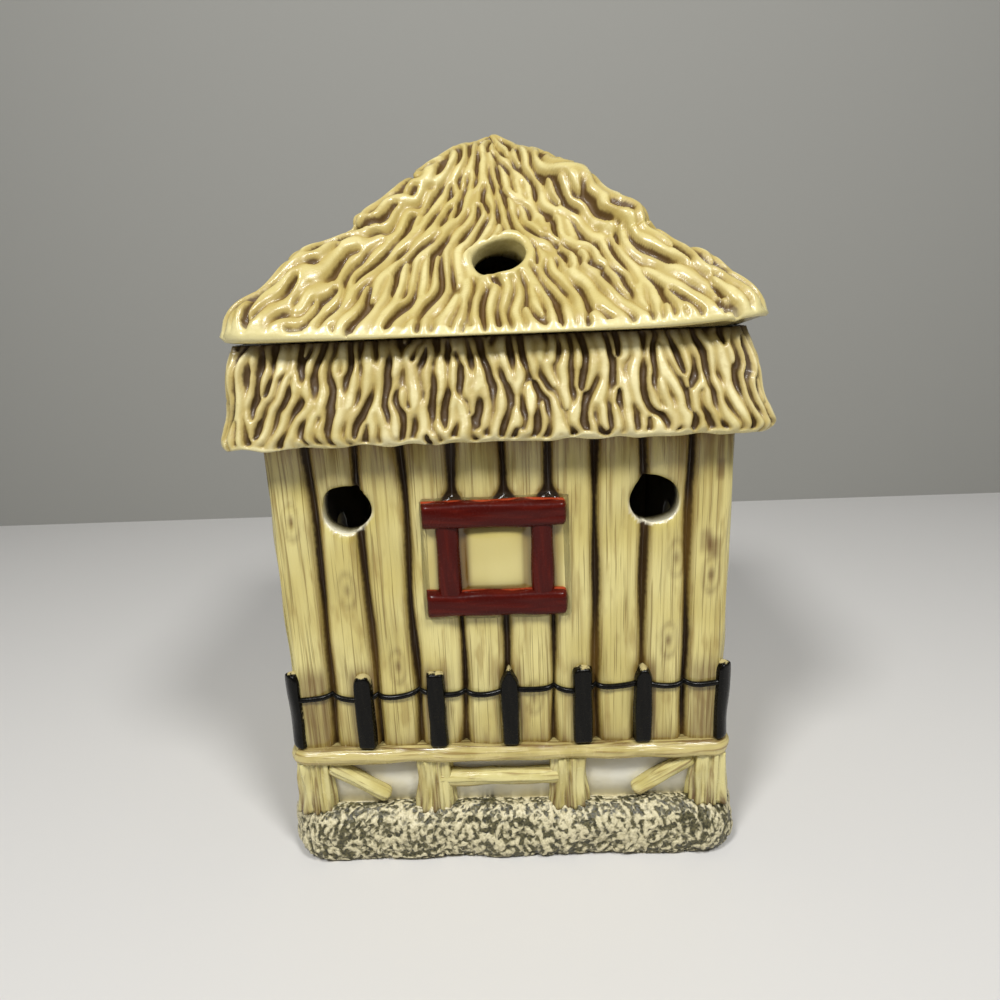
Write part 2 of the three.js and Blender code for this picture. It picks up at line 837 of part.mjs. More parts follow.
function picketFence() {
  const solids = [fenceWire()];
  const frontSpan = wallWidth - 2 * picketWidth;
  const sideSpan = wallDepth - 2 * picketWidth;
  for (let corner = 0; corner < 4; corner += 1) {
    solids.push(cornerPicket(corner));
  }
  for (let index = 1; index <= frontPickets; index += 1) {
    solids.push(placedPicket(0, (index / (frontPickets + 1) - 0.5) * frontSpan));
  }
  for (let index = 1; index <= sidePickets; index += 1) {
    const across = (index / (sidePickets + 1) - 0.5) * sideSpan;
    solids.push(placedPicket(1, across));
    solids.push(placedPicket(3, across));
  }
  for (let index = 0; index < backPickets; index += 1) {
    const across = doorPicket + (index / backPickets) * (frontSpan / 2 - doorPicket);
    solids.push(placedPicket(2, across));
    solids.push(placedPicket(2, -across));
  }
  return joined(solids);
}

const dishTop = ledgeLevel + seatGap + flangeThickness;
const dishFloor = dishTop - dishDepth;
const bowlOutside = grown(throatPlan, -slideGap, dishCorner);
const bowlInside = grown(bowlOutside, -dishWall, dishCorner - dishWall / 3);

// The plan of the dish at a level, narrower towards its floor.
function dishPlan(shape, level) {
  const share = (dishTop - level) / dishDepth;
  return grown(shape, -dishDraft * share);
}

function waxDish() {
  const flange = grown(innerPlan, -slideGap, dishCorner);
  const flangeBottom = ledgeLevel + seatGap;
  const innerFloor = dishFloor + dishWall;
  const outside = loft([
    softRing(grown(dishPlan(bowlOutside, dishFloor), -dishEdge), dishFloor),
    softRing(dishPlan(bowlOutside, dishFloor + dishEdge), dishFloor + dishEdge),
    softRing(bowlOutside, flangeBottom),
    softRing(flange, flangeBottom),
    softRing(flange, dishTop - dishEdge / 2),
    softRing(grown(flange, -dishEdge / 2), dishTop),
  ]);
  const inside = loft([
    softRing(grown(dishPlan(bowlInside, innerFloor), -dishEdge), innerFloor),
    softRing(dishPlan(bowlInside, innerFloor + dishEdge), innerFloor + dishEdge),
    softRing(dishPlan(bowlInside, dishTop + joinOverlap), dishTop + joinOverlap),
  ]);
  return outside.subtract(inside);
}

function waxMelt() {
  const bottom = dishFloor + dishWall + seatGap;
  const top = bottom + waxDepth;
  return loft([
    softRing(grown(dishPlan(bowlInside, bottom), -dishEdge - seatGap), bottom),
    softRing(grown(dishPlan(bowlInside, bottom + dishEdge), -seatGap), bottom + dishEdge),
    softRing(grown(dishPlan(bowlInside, top), -seatGap), top),
  ]);
}

// A solid turned about the vertical axis from points given as radius and height.
function turned(points) {
  const profile = points.map(([radius, height]) => new THREE.Vector2(radius, height));
  return solidOf(new THREE.LatheGeometry(profile, tealightSteps).rotateX(Math.PI / 2));
}

const cupBottom = floorLevel + seatGap;
const paraffinBottom = cupBottom + cupSheet + seatGap;
const stemBottom = cupBottom + cupSheet + seatGap;
const poolLevel = paraffinBottom + paraffinDepth;

function tealightCup() {
  const outer = cupDiameter / 2 - cupRimRoll;
  const inner = outer - cupSheet;
  const rim = cupBottom + cupHeight;
  return turned([
    [0, cupBottom],
    [outer - cupEdge, cupBottom],
    [outer, cupBottom + cupEdge],
    [outer, rim - 2 * cupRimRoll],
    [outer + cupRimRoll, rim - cupRimRoll],
    [outer, rim],
    [inner, rim],
    [inner, cupBottom + cupEdge + cupSheet],
    [inner - cupEdge, cupBottom + cupSheet],
    [0, cupBottom + cupSheet],
  ]);
}

// The space that the wick's foot and the wick take in the paraffin.
function wickSpace() {
  const disc = sustainerDiameter / 2 + seatGap;
  const stem = stemDiameter / 2 + seatGap;
  const sheetTop = stemBottom + sustainerSheet + seatGap;
  return turned([
    [0, paraffinBottom - joinOverlap],
    [disc, paraffinBottom - joinOverlap],
    [disc, sheetTop],
    [stem + stemFlare, sheetTop],
    [stem, sheetTop + stemFlareHeight],
    [stem, poolLevel + joinOverlap],
    [0, poolLevel + joinOverlap],
  ]);
}

function tealightWax() {
  const radius = cupDiameter / 2 - cupRimRoll - cupSheet - seatGap;
  const block = turned([
    [0, paraffinBottom],
    [radius - paraffinEdge, paraffinBottom],
    [radius, paraffinBottom + paraffinEdge],
    [radius, poolLevel],
    [0, poolLevel - paraffinDip],
  ]);
  return block.subtract(wickSpace());
}

function wickSustainer() {
  const stem = stemDiameter / 2;
  const hole = wickDiameter / 2 + seatGap;
  const top = stemBottom + stemHeight;
  return turned([
    [hole, stemBottom],
    [sustainerDiameter / 2, stemBottom],
    [sustainerDiameter / 2, stemBottom + sustainerSheet],
    [stem + stemFlare, stemBottom + sustainerSheet],
    [stem, stemBottom + sustainerSheet + stemFlareHeight],
    [stem, top],
    [hole, top],
    [hole, stemBottom],
  ]);
}

function tealightWick() {
  const top = poolLevel + wickAbovePool;
  const from = new THREE.Vector3(0, 0, stemBottom);
  return bar(from, new THREE.Vector3(0, 0, top), wickDiameter / 2, logSteps);
}

const warmer = new THREE.Group();
warmer.add(meshOf("hut_body", hutBody(), wallGlaze));
warmer.add(meshOf("window_frame", windowFrame(), redEnamel));
warmer.add(meshOf("picket_fence", picketFence(), blackEnamel));
warmer.add(meshOf("roof_lid", roofLid(), thatchGlaze));
warmer.add(meshOf("wax_dish", waxDish(), dishGlaze));
warmer.add(meshOf("wax_melt", waxMelt(), scentedWax));
warmer.add(meshOf("tealight_cup", tealightCup(), aluminium));
warmer.add(meshOf("tealight_wax", tealightWax(), paraffin));
warmer.add(meshOf("wick_sustainer", wickSustainer(), tin));
warmer.add(meshOf("tealight_wick", tealightWick(), cotton));

export default warmer;
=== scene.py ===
import math
from collections import namedtuple

import bmesh
import bpy
import numpy as np
from mathutils import Euler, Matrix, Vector


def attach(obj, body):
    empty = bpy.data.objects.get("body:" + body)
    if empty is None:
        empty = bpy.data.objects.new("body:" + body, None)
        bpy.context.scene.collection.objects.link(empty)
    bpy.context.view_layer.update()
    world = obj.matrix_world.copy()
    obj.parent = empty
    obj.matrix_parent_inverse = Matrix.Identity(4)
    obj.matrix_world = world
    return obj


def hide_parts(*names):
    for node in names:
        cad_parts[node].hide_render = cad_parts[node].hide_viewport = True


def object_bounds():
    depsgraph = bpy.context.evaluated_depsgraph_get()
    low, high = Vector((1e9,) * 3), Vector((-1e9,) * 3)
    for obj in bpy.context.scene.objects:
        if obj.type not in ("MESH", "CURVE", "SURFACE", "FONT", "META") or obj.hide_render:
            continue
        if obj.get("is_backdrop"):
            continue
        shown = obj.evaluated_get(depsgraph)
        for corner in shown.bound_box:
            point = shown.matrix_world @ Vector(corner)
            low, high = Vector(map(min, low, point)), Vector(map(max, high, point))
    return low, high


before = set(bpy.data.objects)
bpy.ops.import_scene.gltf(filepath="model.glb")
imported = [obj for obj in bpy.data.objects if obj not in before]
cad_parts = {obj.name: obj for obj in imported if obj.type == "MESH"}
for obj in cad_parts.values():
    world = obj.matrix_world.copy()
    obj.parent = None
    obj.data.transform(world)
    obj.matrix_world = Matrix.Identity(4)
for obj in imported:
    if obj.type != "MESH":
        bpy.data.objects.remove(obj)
cad_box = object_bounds()

MM = 0.001
QUARTER = math.pi / 2
CIRCLE = 2 * math.pi
UP = np.array([0.0, 0.0, 1.0])

Plan = namedtuple("Plan", "half_x half_y corner")


def grown(plan, by, corner=None):
    """The same rounded rectangle, grown on every side."""
    return Plan(plan.half_x + by, plan.half_y + by, plan.corner if corner is None else corner)


# Plans, seen from above
WALL = Plan(56.5, 46.0, 3.0)
WALL_THICKNESS = 6.0
INNER = grown(WALL, -WALL_THICKNESS, 6.0)
THROAT = grown(INNER, -5.0)
ROOF = grown(WALL, 5.6, 9.0)
DECK = grown(WALL, 2.6, 6.0)
STILT_WALL = grown(WALL, -2.5)
RECESS = grown(STILT_WALL, -WALL_THICKNESS, 6.0)
ROUND = 4.0 * (WALL.half_x + WALL.half_y)

# Levels, and the gaps between pieces that touch or slide
GAP = 0.3
LOOSE = 0.6
BASE_TOP = 15.0
DECK_BOTTOM = 28.5
DECK_TOP = 33.0
FLOOR_BOTTOM = 30.5
FLOOR_TOP = 36.0
SKIRT_BOTTOM = 115.6
LEDGE_BOTTOM = 123.0
LEDGE_TOP = 128.0
MOUTH = 138.5
LID_BOTTOM = MOUTH + GAP
EAVE = 141.3
APEX = 189.8

# Planks and their grooves
FRONT_PLANKS = 10
SIDE_PLANKS = 8
PLANK_COLUMNS = 22
PLANK_ROWS = 100
PLANK_GROOVE = 1.7
PLANK_GROOVE_HALF = 0.95
PLANK_CROWN = 0.8
PLANK_DRIFT = 0.8
PLANK_SWAY = 0.35
WALL_FOOT = DECK_TOP - 1.5
WALL_HEAD = SKIRT_BOTTOM + 0.8

# Knots and scraped patches of the planks, from the middle of the front and from the ground
KNOTS = [(-39.0, 77.5), (43.0, 83.5), (41.5, 61.5), (-28.0, 56.0), (-51.0, 96.0), (7.0, 46.0)]
KNOT_HALF_X = 2.0
KNOT_HALF_Z = 4.4
KNOT_DEPTH = 0.35
KNOT_SIDE_DROP = 17.0
SCRAPES = [(52.6, 106.0), (50.0, 88.0), (52.4, 86.0)]
SCRAPE_HALF_X = 1.5
SCRAPE_HALF_Z = 3.2

# Openings
VENT_RADIUS = 6.0
VENT_X = 37.3
VENT_HEIGHT = 98.7
SIDE_VENT_HEIGHT = 79.0
DOOR_HALF = 25.0
DOOR_SPRING = FLOOR_TOP + 29.0

# Roof and its vent
ROOF_RISE = APEX - EAVE
ROOF_FALL = math.hypot(ROOF_RISE, ROOF.half_y)
ROOF_SLOPE = ROOF_FALL / ROOF.half_y
ROOF_THICKNESS = 5.8
ROOF_VENT_RADIUS = 6.15
ROOF_VENT_X = 1.5
ROOF_VENT_Y = -0.68 * ROOF.half_y
APEX_ASIDE = 1.4
LIP_DEPTH = 4.8
LIP_THICKNESS = 3.4
LID_SHOULDER = LID_BOTTOM + 4.4
CORNER_LIFT = 2.6
RIM_DROP = 1.6
RIM_START = 0.96

# The roll of thatch on a hip, with the shares of the way down where it is full and where it ends, how
# softly it ends, and how far the roof is lifted below it
Hip = namedtuple("Hip", "height full end soft lift")
LEFT_HIP = Hip(3.5, 0.15, 0.545, 0.03, 4.8)
RIGHT_HIP = Hip(4.9, 0.34, 0.6, 0.05, 3.8)
ROLL_HALF = 7.0
LIFT_HALF = 9.0

# Skirt
SKIRT_HEIGHT = MOUTH - SKIRT_BOTTOM
SKIRT_TOP_OUT = 0.75
SKIRT_BULGE = 7.75
SKIRT_LIP = 2.0
SKIRT_LIP_LEFT = 0.9
SKIRT_LEFT_SWELL = 3.4
SKIRT_RIGHT_SWELL = 1.4

# Window
WINDOW_X = -1.5
WINDOW_SILL = 70.2
FRAME_HEIGHT = 30.1
FRAME_WIDTH = 35.2
WINDOW_LEVEL = WINDOW_SILL + FRAME_HEIGHT / 2
BOARD = 7.0
STILE = 5.7
STILE_SPACING = 23.1
STILE_RISE = 1.8
BOARD_RISE = 2.5
FRAME_SUNK = 0.6
PANE_HALF_X = 7.3
PANE_HALF_Z = 7.9
PANE_SWELL = 1.1
PANEL_SUNK = 0.4

# Fence
PICKET_WIDTH = 5.2
PICKET_HEIGHT = 22.7
PICKET_RISE = 1.9
PICKET_SUNK = 1.7
PICKET_FOOT = DECK_TOP + 0.2
FRONT_PICKETS = [-50.3, -37.4, -18.4, 0.7, 19.6, 35.2, 51.0]
SIDE_PICKETS = 4
BACK_PICKETS = 2
DOOR_PICKET = DOOR_HALF + PICKET_WIDTH + 0.5
WIRE_LEVEL = DECK_TOP + 15.4
WIRE_RADIUS = 0.75

# Where the end of a slat starts to round off, as a share of its length, and the two powers of that curve
PICKET_TOPS = [(0.86, 2.0, 2.0), (0.93, 4.0, 2.0), (0.80, 1.4, 1.2), (0.90, 2.4, 2.0), (0.84, 1.8, 1.5)]
STILE_END = (0.95, 8.0, 2.0)
BOARD_END = (0.95, 5.0, 2.0)

# Rock, stilts and braces
BASE_OVERHANG = 5.4
BASE_SHOULDER = 0.82
BASE_FOOT_IN = 2.2
BASE_TOP_IN = 4.2
DAB_REACH = 0.9
POST_WIDTH = 10.0
POST_IN = 1.4
POST_X = WALL.half_x + POST_IN - POST_WIDTH / 2
POST_Y = WALL.half_y + POST_IN - POST_WIDTH / 2
FRONT_POSTS = [-20.3, 15.5]
BRACE_RADIUS = 2.2
BRACE_RUN = 15.0
BRACE_IN = 1.1
BEAM_RADIUS = 2.4
BEAM_LEVEL = BASE_TOP + 7.6
LOG_END = 0.2236

# Dish and tealight
DISH_TOP = LEDGE_TOP + GAP + 3.0
DISH_DEPTH = 22.0
DISH_WALL = 3.2
DISH_DRAFT = 4.5
BOWL_OUT = grown(THROAT, -LOOSE, 9.0)
BOWL_IN = grown(BOWL_OUT, -DISH_WALL, 8.0)
WAX_DEPTH = 11.0
CUP_BOTTOM = FLOOR_TOP + GAP
CUP_RADIUS = 18.8
CUP_HEIGHT = 16.0
CUP_SHEET = 0.5
CUP_BEAD = 0.5
PARAFFIN_BOTTOM = CUP_BOTTOM + CUP_SHEET + GAP
PARAFFIN_DEPTH = 13.0
WICK_HEIGHT = 22.0
WICK_RADIUS = 0.72

# Strands of thatch and dabs of rock on flat sheets
SHEET_PITCH = 0.25
GROOVE_REACH = 2.2
HEADINGS = 16
ROUNDS_OF_COMBING = 4
RIDGE_HALF = 0.95
STRAND_SPACING = 2.8
SKIRT_VALLEY = 0.58
SKIRT_RIDGE = 0.95
SKIRT_VALLEY_DEPTH = 1.1
ROOF_VALLEY = 0.49
ROOF_RIDGE = 1.0
ROOF_VALLEY_DEPTH = 1.2
DAB_SPACING = 2.0
DAB_VALLEY = 0.46
DAB_SHEET_HEIGHT = 20.0

# What each point of a piece carries for its material, and the value where nothing is said
PAINTS = dict.fromkeys(("deep", "bare", "soot", "worn", "across", "along"), 0.0) | {"cut": -GROOVE_REACH}
# Dark brown laid over the insides of hollow pieces: painted shade where their white glaze lies in the dark.
INNER_SHADE = (70, 60, 44)
COAT_ROUGHNESS = 0.08
WAVE_COUNT = 16


# Curves and fields

def stacked(*axes):
    """Arrays of coordinates, stretched to one shape, as points."""
    return np.stack(np.broadcast_arrays(*axes), -1)


def lifted(spots, height):
    """Flat points at a height."""
    height = np.broadcast_to(height, spots.shape[:-1])
    return np.concatenate([spots, height[..., None]], -1)


def ramp(value, low, high):
    """A straight step from 0 at low to 1 at high."""
    return np.clip((value - low) / (high - low), 0.0, 1.0)


def smooth(value, low, high):
    """A soft step from 0 at low to 1 at high."""
    share = ramp(value, low, high)
    return share * share * (3.0 - 2.0 * share)


def eased(share):
    """A share from 0 to 1 that starts and stops gently."""
    return (1.0 - np.cos(math.pi * share)) / 2


def bell(value, width, power=2):
    """1 at zero and next to nothing beyond about twice the width."""
    return np.exp(-(value / width) ** power)


def fading(value, length):
    """1 up to zero, and from there it fades away over a length."""
    return np.exp(-np.maximum(value, 0.0) / length)


def dome(value, power, root=0.5):
    """1 at zero and 0 from -1 and 1 outwards, with the flatter a top the higher the power."""
    return np.clip(1.0 - np.abs(value) ** power, 0.0, 1.0) ** root


def circle(columns):
    """Angles spread evenly round a circle."""
    return np.arange(columns) * CIRCLE / columns


def waves(seed, length, points):
    """A smooth random field, about -2 to 2, at points in space or on a flat sheet.
    Its bumps repeat about every length."""
    dice = np.random.default_rng(seed)
    heading = dice.normal(size=(WAVE_COUNT, 3))
    heading /= np.linalg.norm(heading, axis=1)[:, None]
    pace = CIRCLE / (length * dice.uniform(0.7, 1.5, WAVE_COUNT))
    phase = dice.uniform(0.0, CIRCLE, WAVE_COUNT)
    total = np.zeros(points.shape[:-1])
    for direction, rate, start in zip(heading, pace, phase):
        total += np.cos(rate * (points @ direction[:points.shape[-1]]) + start)
    return total * math.sqrt(2.0 / WAVE_COUNT)


# The way round the hut. Side 0 faces -Y, and a place along a side runs from -1 to 1.

def side_middle(side):
    """Where the middle of a side lies on the way round the wall."""
    return side * (WALL.half_x + WALL.half_y) + WALL.half_x


def side_half(side, plan=WALL):
    """Half the length of a side."""
    return np.where(side % 2 == 0, plan.half_x, plan.half_y)


def along_side(around, side):
    """Where places on the way round the wall lie along their side."""
    return (around - side_middle(side)) / side_half(side)


def each_side(columns):
    """The sides of evenly spread points, as many on each side, and their places along them."""
    side = np.repeat(np.arange(4), columns)
    return side, np.tile(np.arange(columns) * 2.0 / columns - 1.0, 4)


def round_wall(columns):
    """Evenly spread places on the way round the wall, their sides, and their places along them."""
    around = np.arange(columns) * ROUND / columns
    corners = np.cumsum([2 * WALL.half_x, 2 * WALL.half_y, 2 * WALL.half_x])
    side = np.searchsorted(corners, around, side="right")
    return around, side, along_side(around, side)


def edge(plan, side, along, push=0.0):
    """Points on a plan's edge, pushed out by a distance, and the way out there."""
    half_long, half_deep = side_half(side, plan), side_half(side + 1, plan)
    straight = half_long - plan.corner
    reach = np.abs(along) * half_long
    turn = np.maximum(reach - straight, 0.0) / plan.corner * (math.pi / 4) * np.sign(along)
    radius = plan.corner + push
    across = np.sign(along) * np.minimum(reach, straight) + radius * np.sin(turn)
    out = half_deep - plan.corner + radius * np.cos(turn)
    heading = side * QUARTER
    spots = stacked(
        across * np.cos(heading) + out * np.sin(heading),
        across * np.sin(heading) - out * np.cos(heading),
    )
    return spots, stacked(np.sin(heading + turn), -np.cos(heading + turn))


# Pieces while they are built

def border(numbers):
    """The loop of points round a grid."""
    return np.concatenate([numbers[0, :-1], numbers[:-1, -1], numbers[-1, :0:-1], numbers[:0:-1, 0]])


def placed(name, data):
    """A new object in the scene."""
    made = bpy.data.objects.new(name, data)
    bpy.context.scene.collection.objects.link(made)
    return made


class Skin:
    """Points, faces and painted values of one piece."""

    def __init__(self):
        self.points = []
        self.count = 0
        self.faces = []
        self.paints = {name: [] for name in PAINTS}

    def add(self, points, **painted):
        """Adds an array of points and returns their numbers in the same arrangement."""
        shape = points.shape[:-1]
        for name, usual in PAINTS.items():
            value = np.broadcast_to(painted.get(name, usual), shape)
            self.paints[name].append(value.reshape(-1))
        self.points.append(points.reshape(-1, 3))
        numbers = self.count + np.arange(math.prod(shape)).reshape(shape)
        self.count += numbers.size
        return numbers

    def spots(self):
        """All points so far."""
        return np.concatenate(self.points)

    def grid(self, numbers, stay=None, closed=False):
        """Fills a grid of numbered points with faces, or only the cells that stay."""
        if closed:
            numbers = np.concatenate([numbers, numbers[:, :1]], 1)
        quads = np.stack([numbers[:-1, :-1], numbers[:-1, 1:], numbers[1:, 1:], numbers[1:, :-1]], -1)
        if stay is not None:
            quads = quads[stay]
        self.faces.extend(quads.reshape(-1, 4).tolist())

    def band(self, one, other):
        """Joins two loops of as many points."""
        self.grid(np.stack([one, other]), closed=True)

    def bridge(self, one, other):
        """Joins two loops that run the same way round with a band of triangles."""
        spots = self.spots()
        start = np.argmin(np.linalg.norm(spots[other] - spots[one[0]], axis=1))
        other = np.roll(other, -start)
        here, there = spots[one], spots[other]
        i = j = 0
        while i < len(one) or j < len(other):
            next_i, next_j = (i + 1) % len(one), (j + 1) % len(other)
            ahead = np.linalg.norm(here[next_i] - there[j % len(other)])
            beside = np.linalg.norm(here[i % len(one)] - there[next_j])
            if j == len(other) or (i < len(one) and ahead <= beside):
                self.faces.append([one[i], one[next_i], other[j % len(other)]])
                i += 1
            else:
                self.faces.append([one[i % len(one)], other[next_j], other[j]])
                j += 1

    def follow(self, loop, shift, **painted):
        """Adds a shifted copy of a loop, joined to it, and returns the copy."""
        copy = self.add(self.spots()[loop] + shift, **painted)
        self.band(loop, copy)
        return copy

    def cap(self, loop):
        """Closes a loop with a fan round its middle."""
        middle = self.add(self.spots()[loop].mean(0)[None])[0]
        fan = np.stack([loop, np.roll(loop, -1), np.full(len(loop), middle)], -1)
        self.faces.extend(fan.tolist())

    def bar(self, numbers):
        """Fills a grid that closes on itself, with both of its ends."""
        self.grid(numbers, closed=True)
        self.cap(numbers[0])
        self.cap(numbers[-1])

    def hoop(self, plan, level, columns=40, **painted):
        """A loop of points round a plan at a level."""
        spots, _ = edge(plan, *each_side(columns))
        return self.add(lifted(spots, level), **painted)

    def lining(self, levels, **painted):
        """Loops from plans and levels, joined one to the next. Returns the first and the last."""
        loops = [self.hoop(plan, level, **painted) for plan, level in levels]
        for one, other in zip(loops, loops[1:]):
            self.band(one, other)
        return loops[0], loops[-1]

    def piece(self, name, material, body="hut", node="hut_body"):
        """Makes the Blender object, which rides on a body and stands for a CAD node."""
        mesh = bpy.data.meshes.new(name)
        mesh.from_pydata((self.spots() * MM).tolist(), [], self.faces)
        for paint, values in self.paints.items():
            layer = mesh.attributes.new(paint, "FLOAT", "POINT")
            layer.data.foreach_set("value", np.concatenate(values).astype(np.float32))
        whole = bmesh.new()
        whole.from_mesh(mesh)
        bmesh.ops.recalc_face_normals(whole, faces=whole.faces)
        whole.to_mesh(mesh)
        whole.free()
        mesh.shade_smooth()
        mesh.materials.append(material)
        made = placed(name, mesh)
        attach(made, body)
        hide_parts(node)


def open_hole(flat, gone, outline):
    """Opens a hole in a grid of flat points. outline gives how far outside of the hole's edge points lie.
    Moves the points beside the hole, marks its cells as gone and returns its rim, as rows and columns."""
    closed = gone.shape[1] == flat.shape[1]
    far = outline(flat)
    wide = np.concatenate([far, far[:, :1]], 1) if closed else far
    inside = (wide[:-1, :-1] + wide[:-1, 1:] + wide[1:, 1:] + wide[1:, :-1]) < 0
    step = {}
    for row, column in np.argwhere(inside):
        beyond = (column + 1) % flat.shape[1]
        corners = [(row, column), (row, beyond), (row + 1, beyond), (row + 1, column)]
        across_sides = [
            (row - 1, column),
            (row, (column + 1) % inside.shape[1]),
            (row + 1, column),
            (row, column - 1),
        ]
        for here, there, neighbour in zip(corners, corners[1:] + corners[:1], across_sides):
            if not inside[neighbour]:
                step[here] = there
    rim = [next(iter(step))]
    while step[rim[-1]] != rim[0]:
        rim.append(step[rim[-1]])
    rim = tuple(np.array(rim).T)
    onto_outline(flat, rim, outline)
    beside = (far > 0) & (far < 3.0)
    beside[rim] = False
    beside[[0, -1]] = False
    for _ in range(5):
        around = np.roll(flat, 1, 0) + np.roll(flat, -1, 0) + np.roll(flat, 1, 1) + np.roll(flat, -1, 1)
        flat[beside] = around[beside] / 4
    gone |= inside
    return rim


def onto_outline(flat, rim, outline):
    """Moves the rim of a hole onto its outline."""
    nudge = 0.01
    for _ in range(4):
        spots = flat[rim]
        far = outline(spots)
        slope = stacked(outline(spots + [nudge, 0.0]) - far, outline(spots + [0.0, nudge]) - far) / nudge
        steep = np.maximum((slope ** 2).sum(-1), 0.1)
        flat[rim] = spots - slope * (far / steep)[:, None]


# Strands of thatch

class Sheet:
    """A flat sheet whose strands lie side by side, meander and fork. Of each of its cells, cut tells how
    far inside a valley between two strands it lies, and deep how deep that valley is there."""

    def __init__(self, low, high, wraps=False):
        self.low = np.array(low, float)
        self.size = np.round((np.array(high) - self.low) / SHEET_PITCH).astype(int)
        self.wraps = wraps

    def places(self):
        """The middle of every cell."""
        columns, rows = self.size
        return stacked(np.arange(columns), np.arange(rows)[:, None]) * SHEET_PITCH + self.low

    def combed(self, field, lean, spacing, spread, length):
        """Keeps of a field only the waves that lie about spacing apart and run along strands.
        lean is the direction across the strands, and the result is a wave's height and phase in one."""
        columns, rows = self.size
        rate_x = np.fft.fftfreq(columns, SHEET_PITCH)
        rate_y = np.fft.fftfreq(rows, SHEET_PITCH)[:, None]
        spectrum = np.fft.fft2(field)
        layers = []
        for turn in range(HEADINGS):
            heading = math.pi * turn / HEADINGS
            across = rate_x * math.cos(heading) + rate_y * math.sin(heading)
            along = rate_y * math.cos(heading) - rate_x * math.sin(heading)
            band = bell(across * spacing - 1, spread) * bell(along, 1 / length)
            layers.append(np.fft.ifft2(spectrum * band))
        layers = np.array(layers + [np.conj(layers[0])])
        place = lean % math.pi / math.pi * HEADINGS
        low = np.minimum(place.astype(int), HEADINGS - 1)
        share = place - low
        row, column = np.indices(field.shape)
        return layers[low, row, column] * (1 - share) + layers[low + 1, row, column] * share

    def weave(self, seed, lean, spacing, half_valley):
        """Grows strands out of noise and keeps their valleys."""
        dice = np.random.default_rng(seed)
        field = dice.normal(size=lean.shape)
        for _ in range(ROUNDS_OF_COMBING):
            wave = self.combed(field, lean, spacing, 0.36, 5.0)
            field = np.tanh(2.0 * wave.real / wave.real.std())
        wave = self.combed(field, lean, spacing, 0.36, 3.0)
        steady = wave.real / (np.abs(wave) + 0.12 * np.abs(wave).mean())
        away = np.arccos(np.clip(steady, -1.0, 1.0)) * spacing / CIRCLE
        patches = self.combed(dice.normal(size=lean.shape), lean, 2.4 * spacing, 0.7, 8.0).real
        patches = np.clip(patches / patches.std(), -1.8, 1.2)
        self.cut = half_valley * (1.0 + 0.5 * patches) - away
        self.deep = np.clip(0.55 + 0.4 * patches, 0.0, 1.0)
        return self

    def read(self, spots):
        """How far inside a valley any spots lie, and how deep it is there, between the cells."""
        place = (spots - self.low) / SHEET_PITCH
        column, row = place[..., 0], np.clip(place[..., 1], 0, self.size[1] - 1.001)
        if not self.wraps:
            column = np.clip(column, 0, self.size[0] - 1.001)
        left, low = np.floor(column).astype(int), np.floor(row).astype(int)
        over, up = column - left, row - low
        right, left = (left + 1) % self.size[0], left % self.size[0]

        def between(layer):
            lower = layer[low, left] * (1 - over) + layer[low, right] * over
            upper = layer[low + 1, left] * (1 - over) + layer[low + 1, right] * over
            return lower * (1 - up) + upper * up

        return between(self.cut), between(self.deep)


def rolled(places):
    """Places on a sheet that wraps as points on a cylinder, so that waves meet at its seam."""
    radius = ROUND / CIRCLE
    turn = places[..., 0] / radius
    return stacked(radius * np.cos(turn), radius * np.sin(turn), places[..., 1])


def skirt_sheet():
    """Strands that sway as they fall."""
    margin = 8.0
    sheet = Sheet((0.0, -margin), (ROUND, SKIRT_HEIGHT + margin), wraps=True)
    spots = rolled(sheet.places())
    lean = 0.18 * np.sin(CIRCLE * spots[..., 2] / 12.0 + 2.4 * waves(46, 22.0, spots))
    lean += 0.16 * waves(41, 10.0, spots) + 0.08 * waves(42, 5.0, spots)
    return sheet.weave(43, lean, STRAND_SPACING, SKIRT_VALLEY)


def roof_sheet():
    """Strands that fan out from the apex of the roof and meander."""
    half, margin = np.array([ROOF.half_x, ROOF.half_y]), 2.0
    sheet = Sheet(-half - margin, half + margin)
    places = sheet.places()
    run = np.max(np.abs(places) / half, -1) * ROOF.half_y
    lean = np.arctan2(places[..., 1], places[..., 0]) + QUARTER
    lean += 0.5 * np.sin(CIRCLE * run / 9.5 + 2.4 * waves(54, 26.0, places))
    lean += 0.16 * waves(51, 11.0, places) + 0.10 * waves(52, 6.0, places)
    return sheet.weave(53, lean, STRAND_SPACING, ROOF_VALLEY)


def dab_sheet():
    """Short worms and dabs of glaze that lie every way, for the rock."""
    margin = 2.0
    sheet = Sheet((0.0, -margin), (ROUND, DAB_SHEET_HEIGHT + margin), wraps=True)
    spots = rolled(sheet.places())
    lean = 1.5 * waves(64, 4.0, spots) + 1.0 * waves(65, 12.0, spots)
    return sheet.weave(63, lean, DAB_SPACING, DAB_VALLEY)


def run_out(cut, fade):
    """Lets valleys run out where fade goes to 0."""
    return cut * fade - GROOVE_REACH * (1 - fade)


def carved(cut, deep, ridge, depth):
    """How far thatch lies below the crests of its strands."""
    share = np.clip(1.0 + cut / RIDGE_HALF, 0.0, 1.0)
    flank = ridge * (1.0 - np.sqrt(1.0 - 0.95 * share ** 2.4))
    return flank + depth * (0.3 + 0.7 * deep) * smooth(cut, -0.1, 0.45)


# Materials

def srgb(red, green, blue):
    """A colour read off the photograph, as the linear values that Blender takes."""
    shares = [value / 255 for value in (red, green, blue)]
    linear = [s / 12.92 if s <= 0.04045 else ((s + 0.055) / 1.055) ** 2.4 for s in shares]
    return (*linear, 1.0)


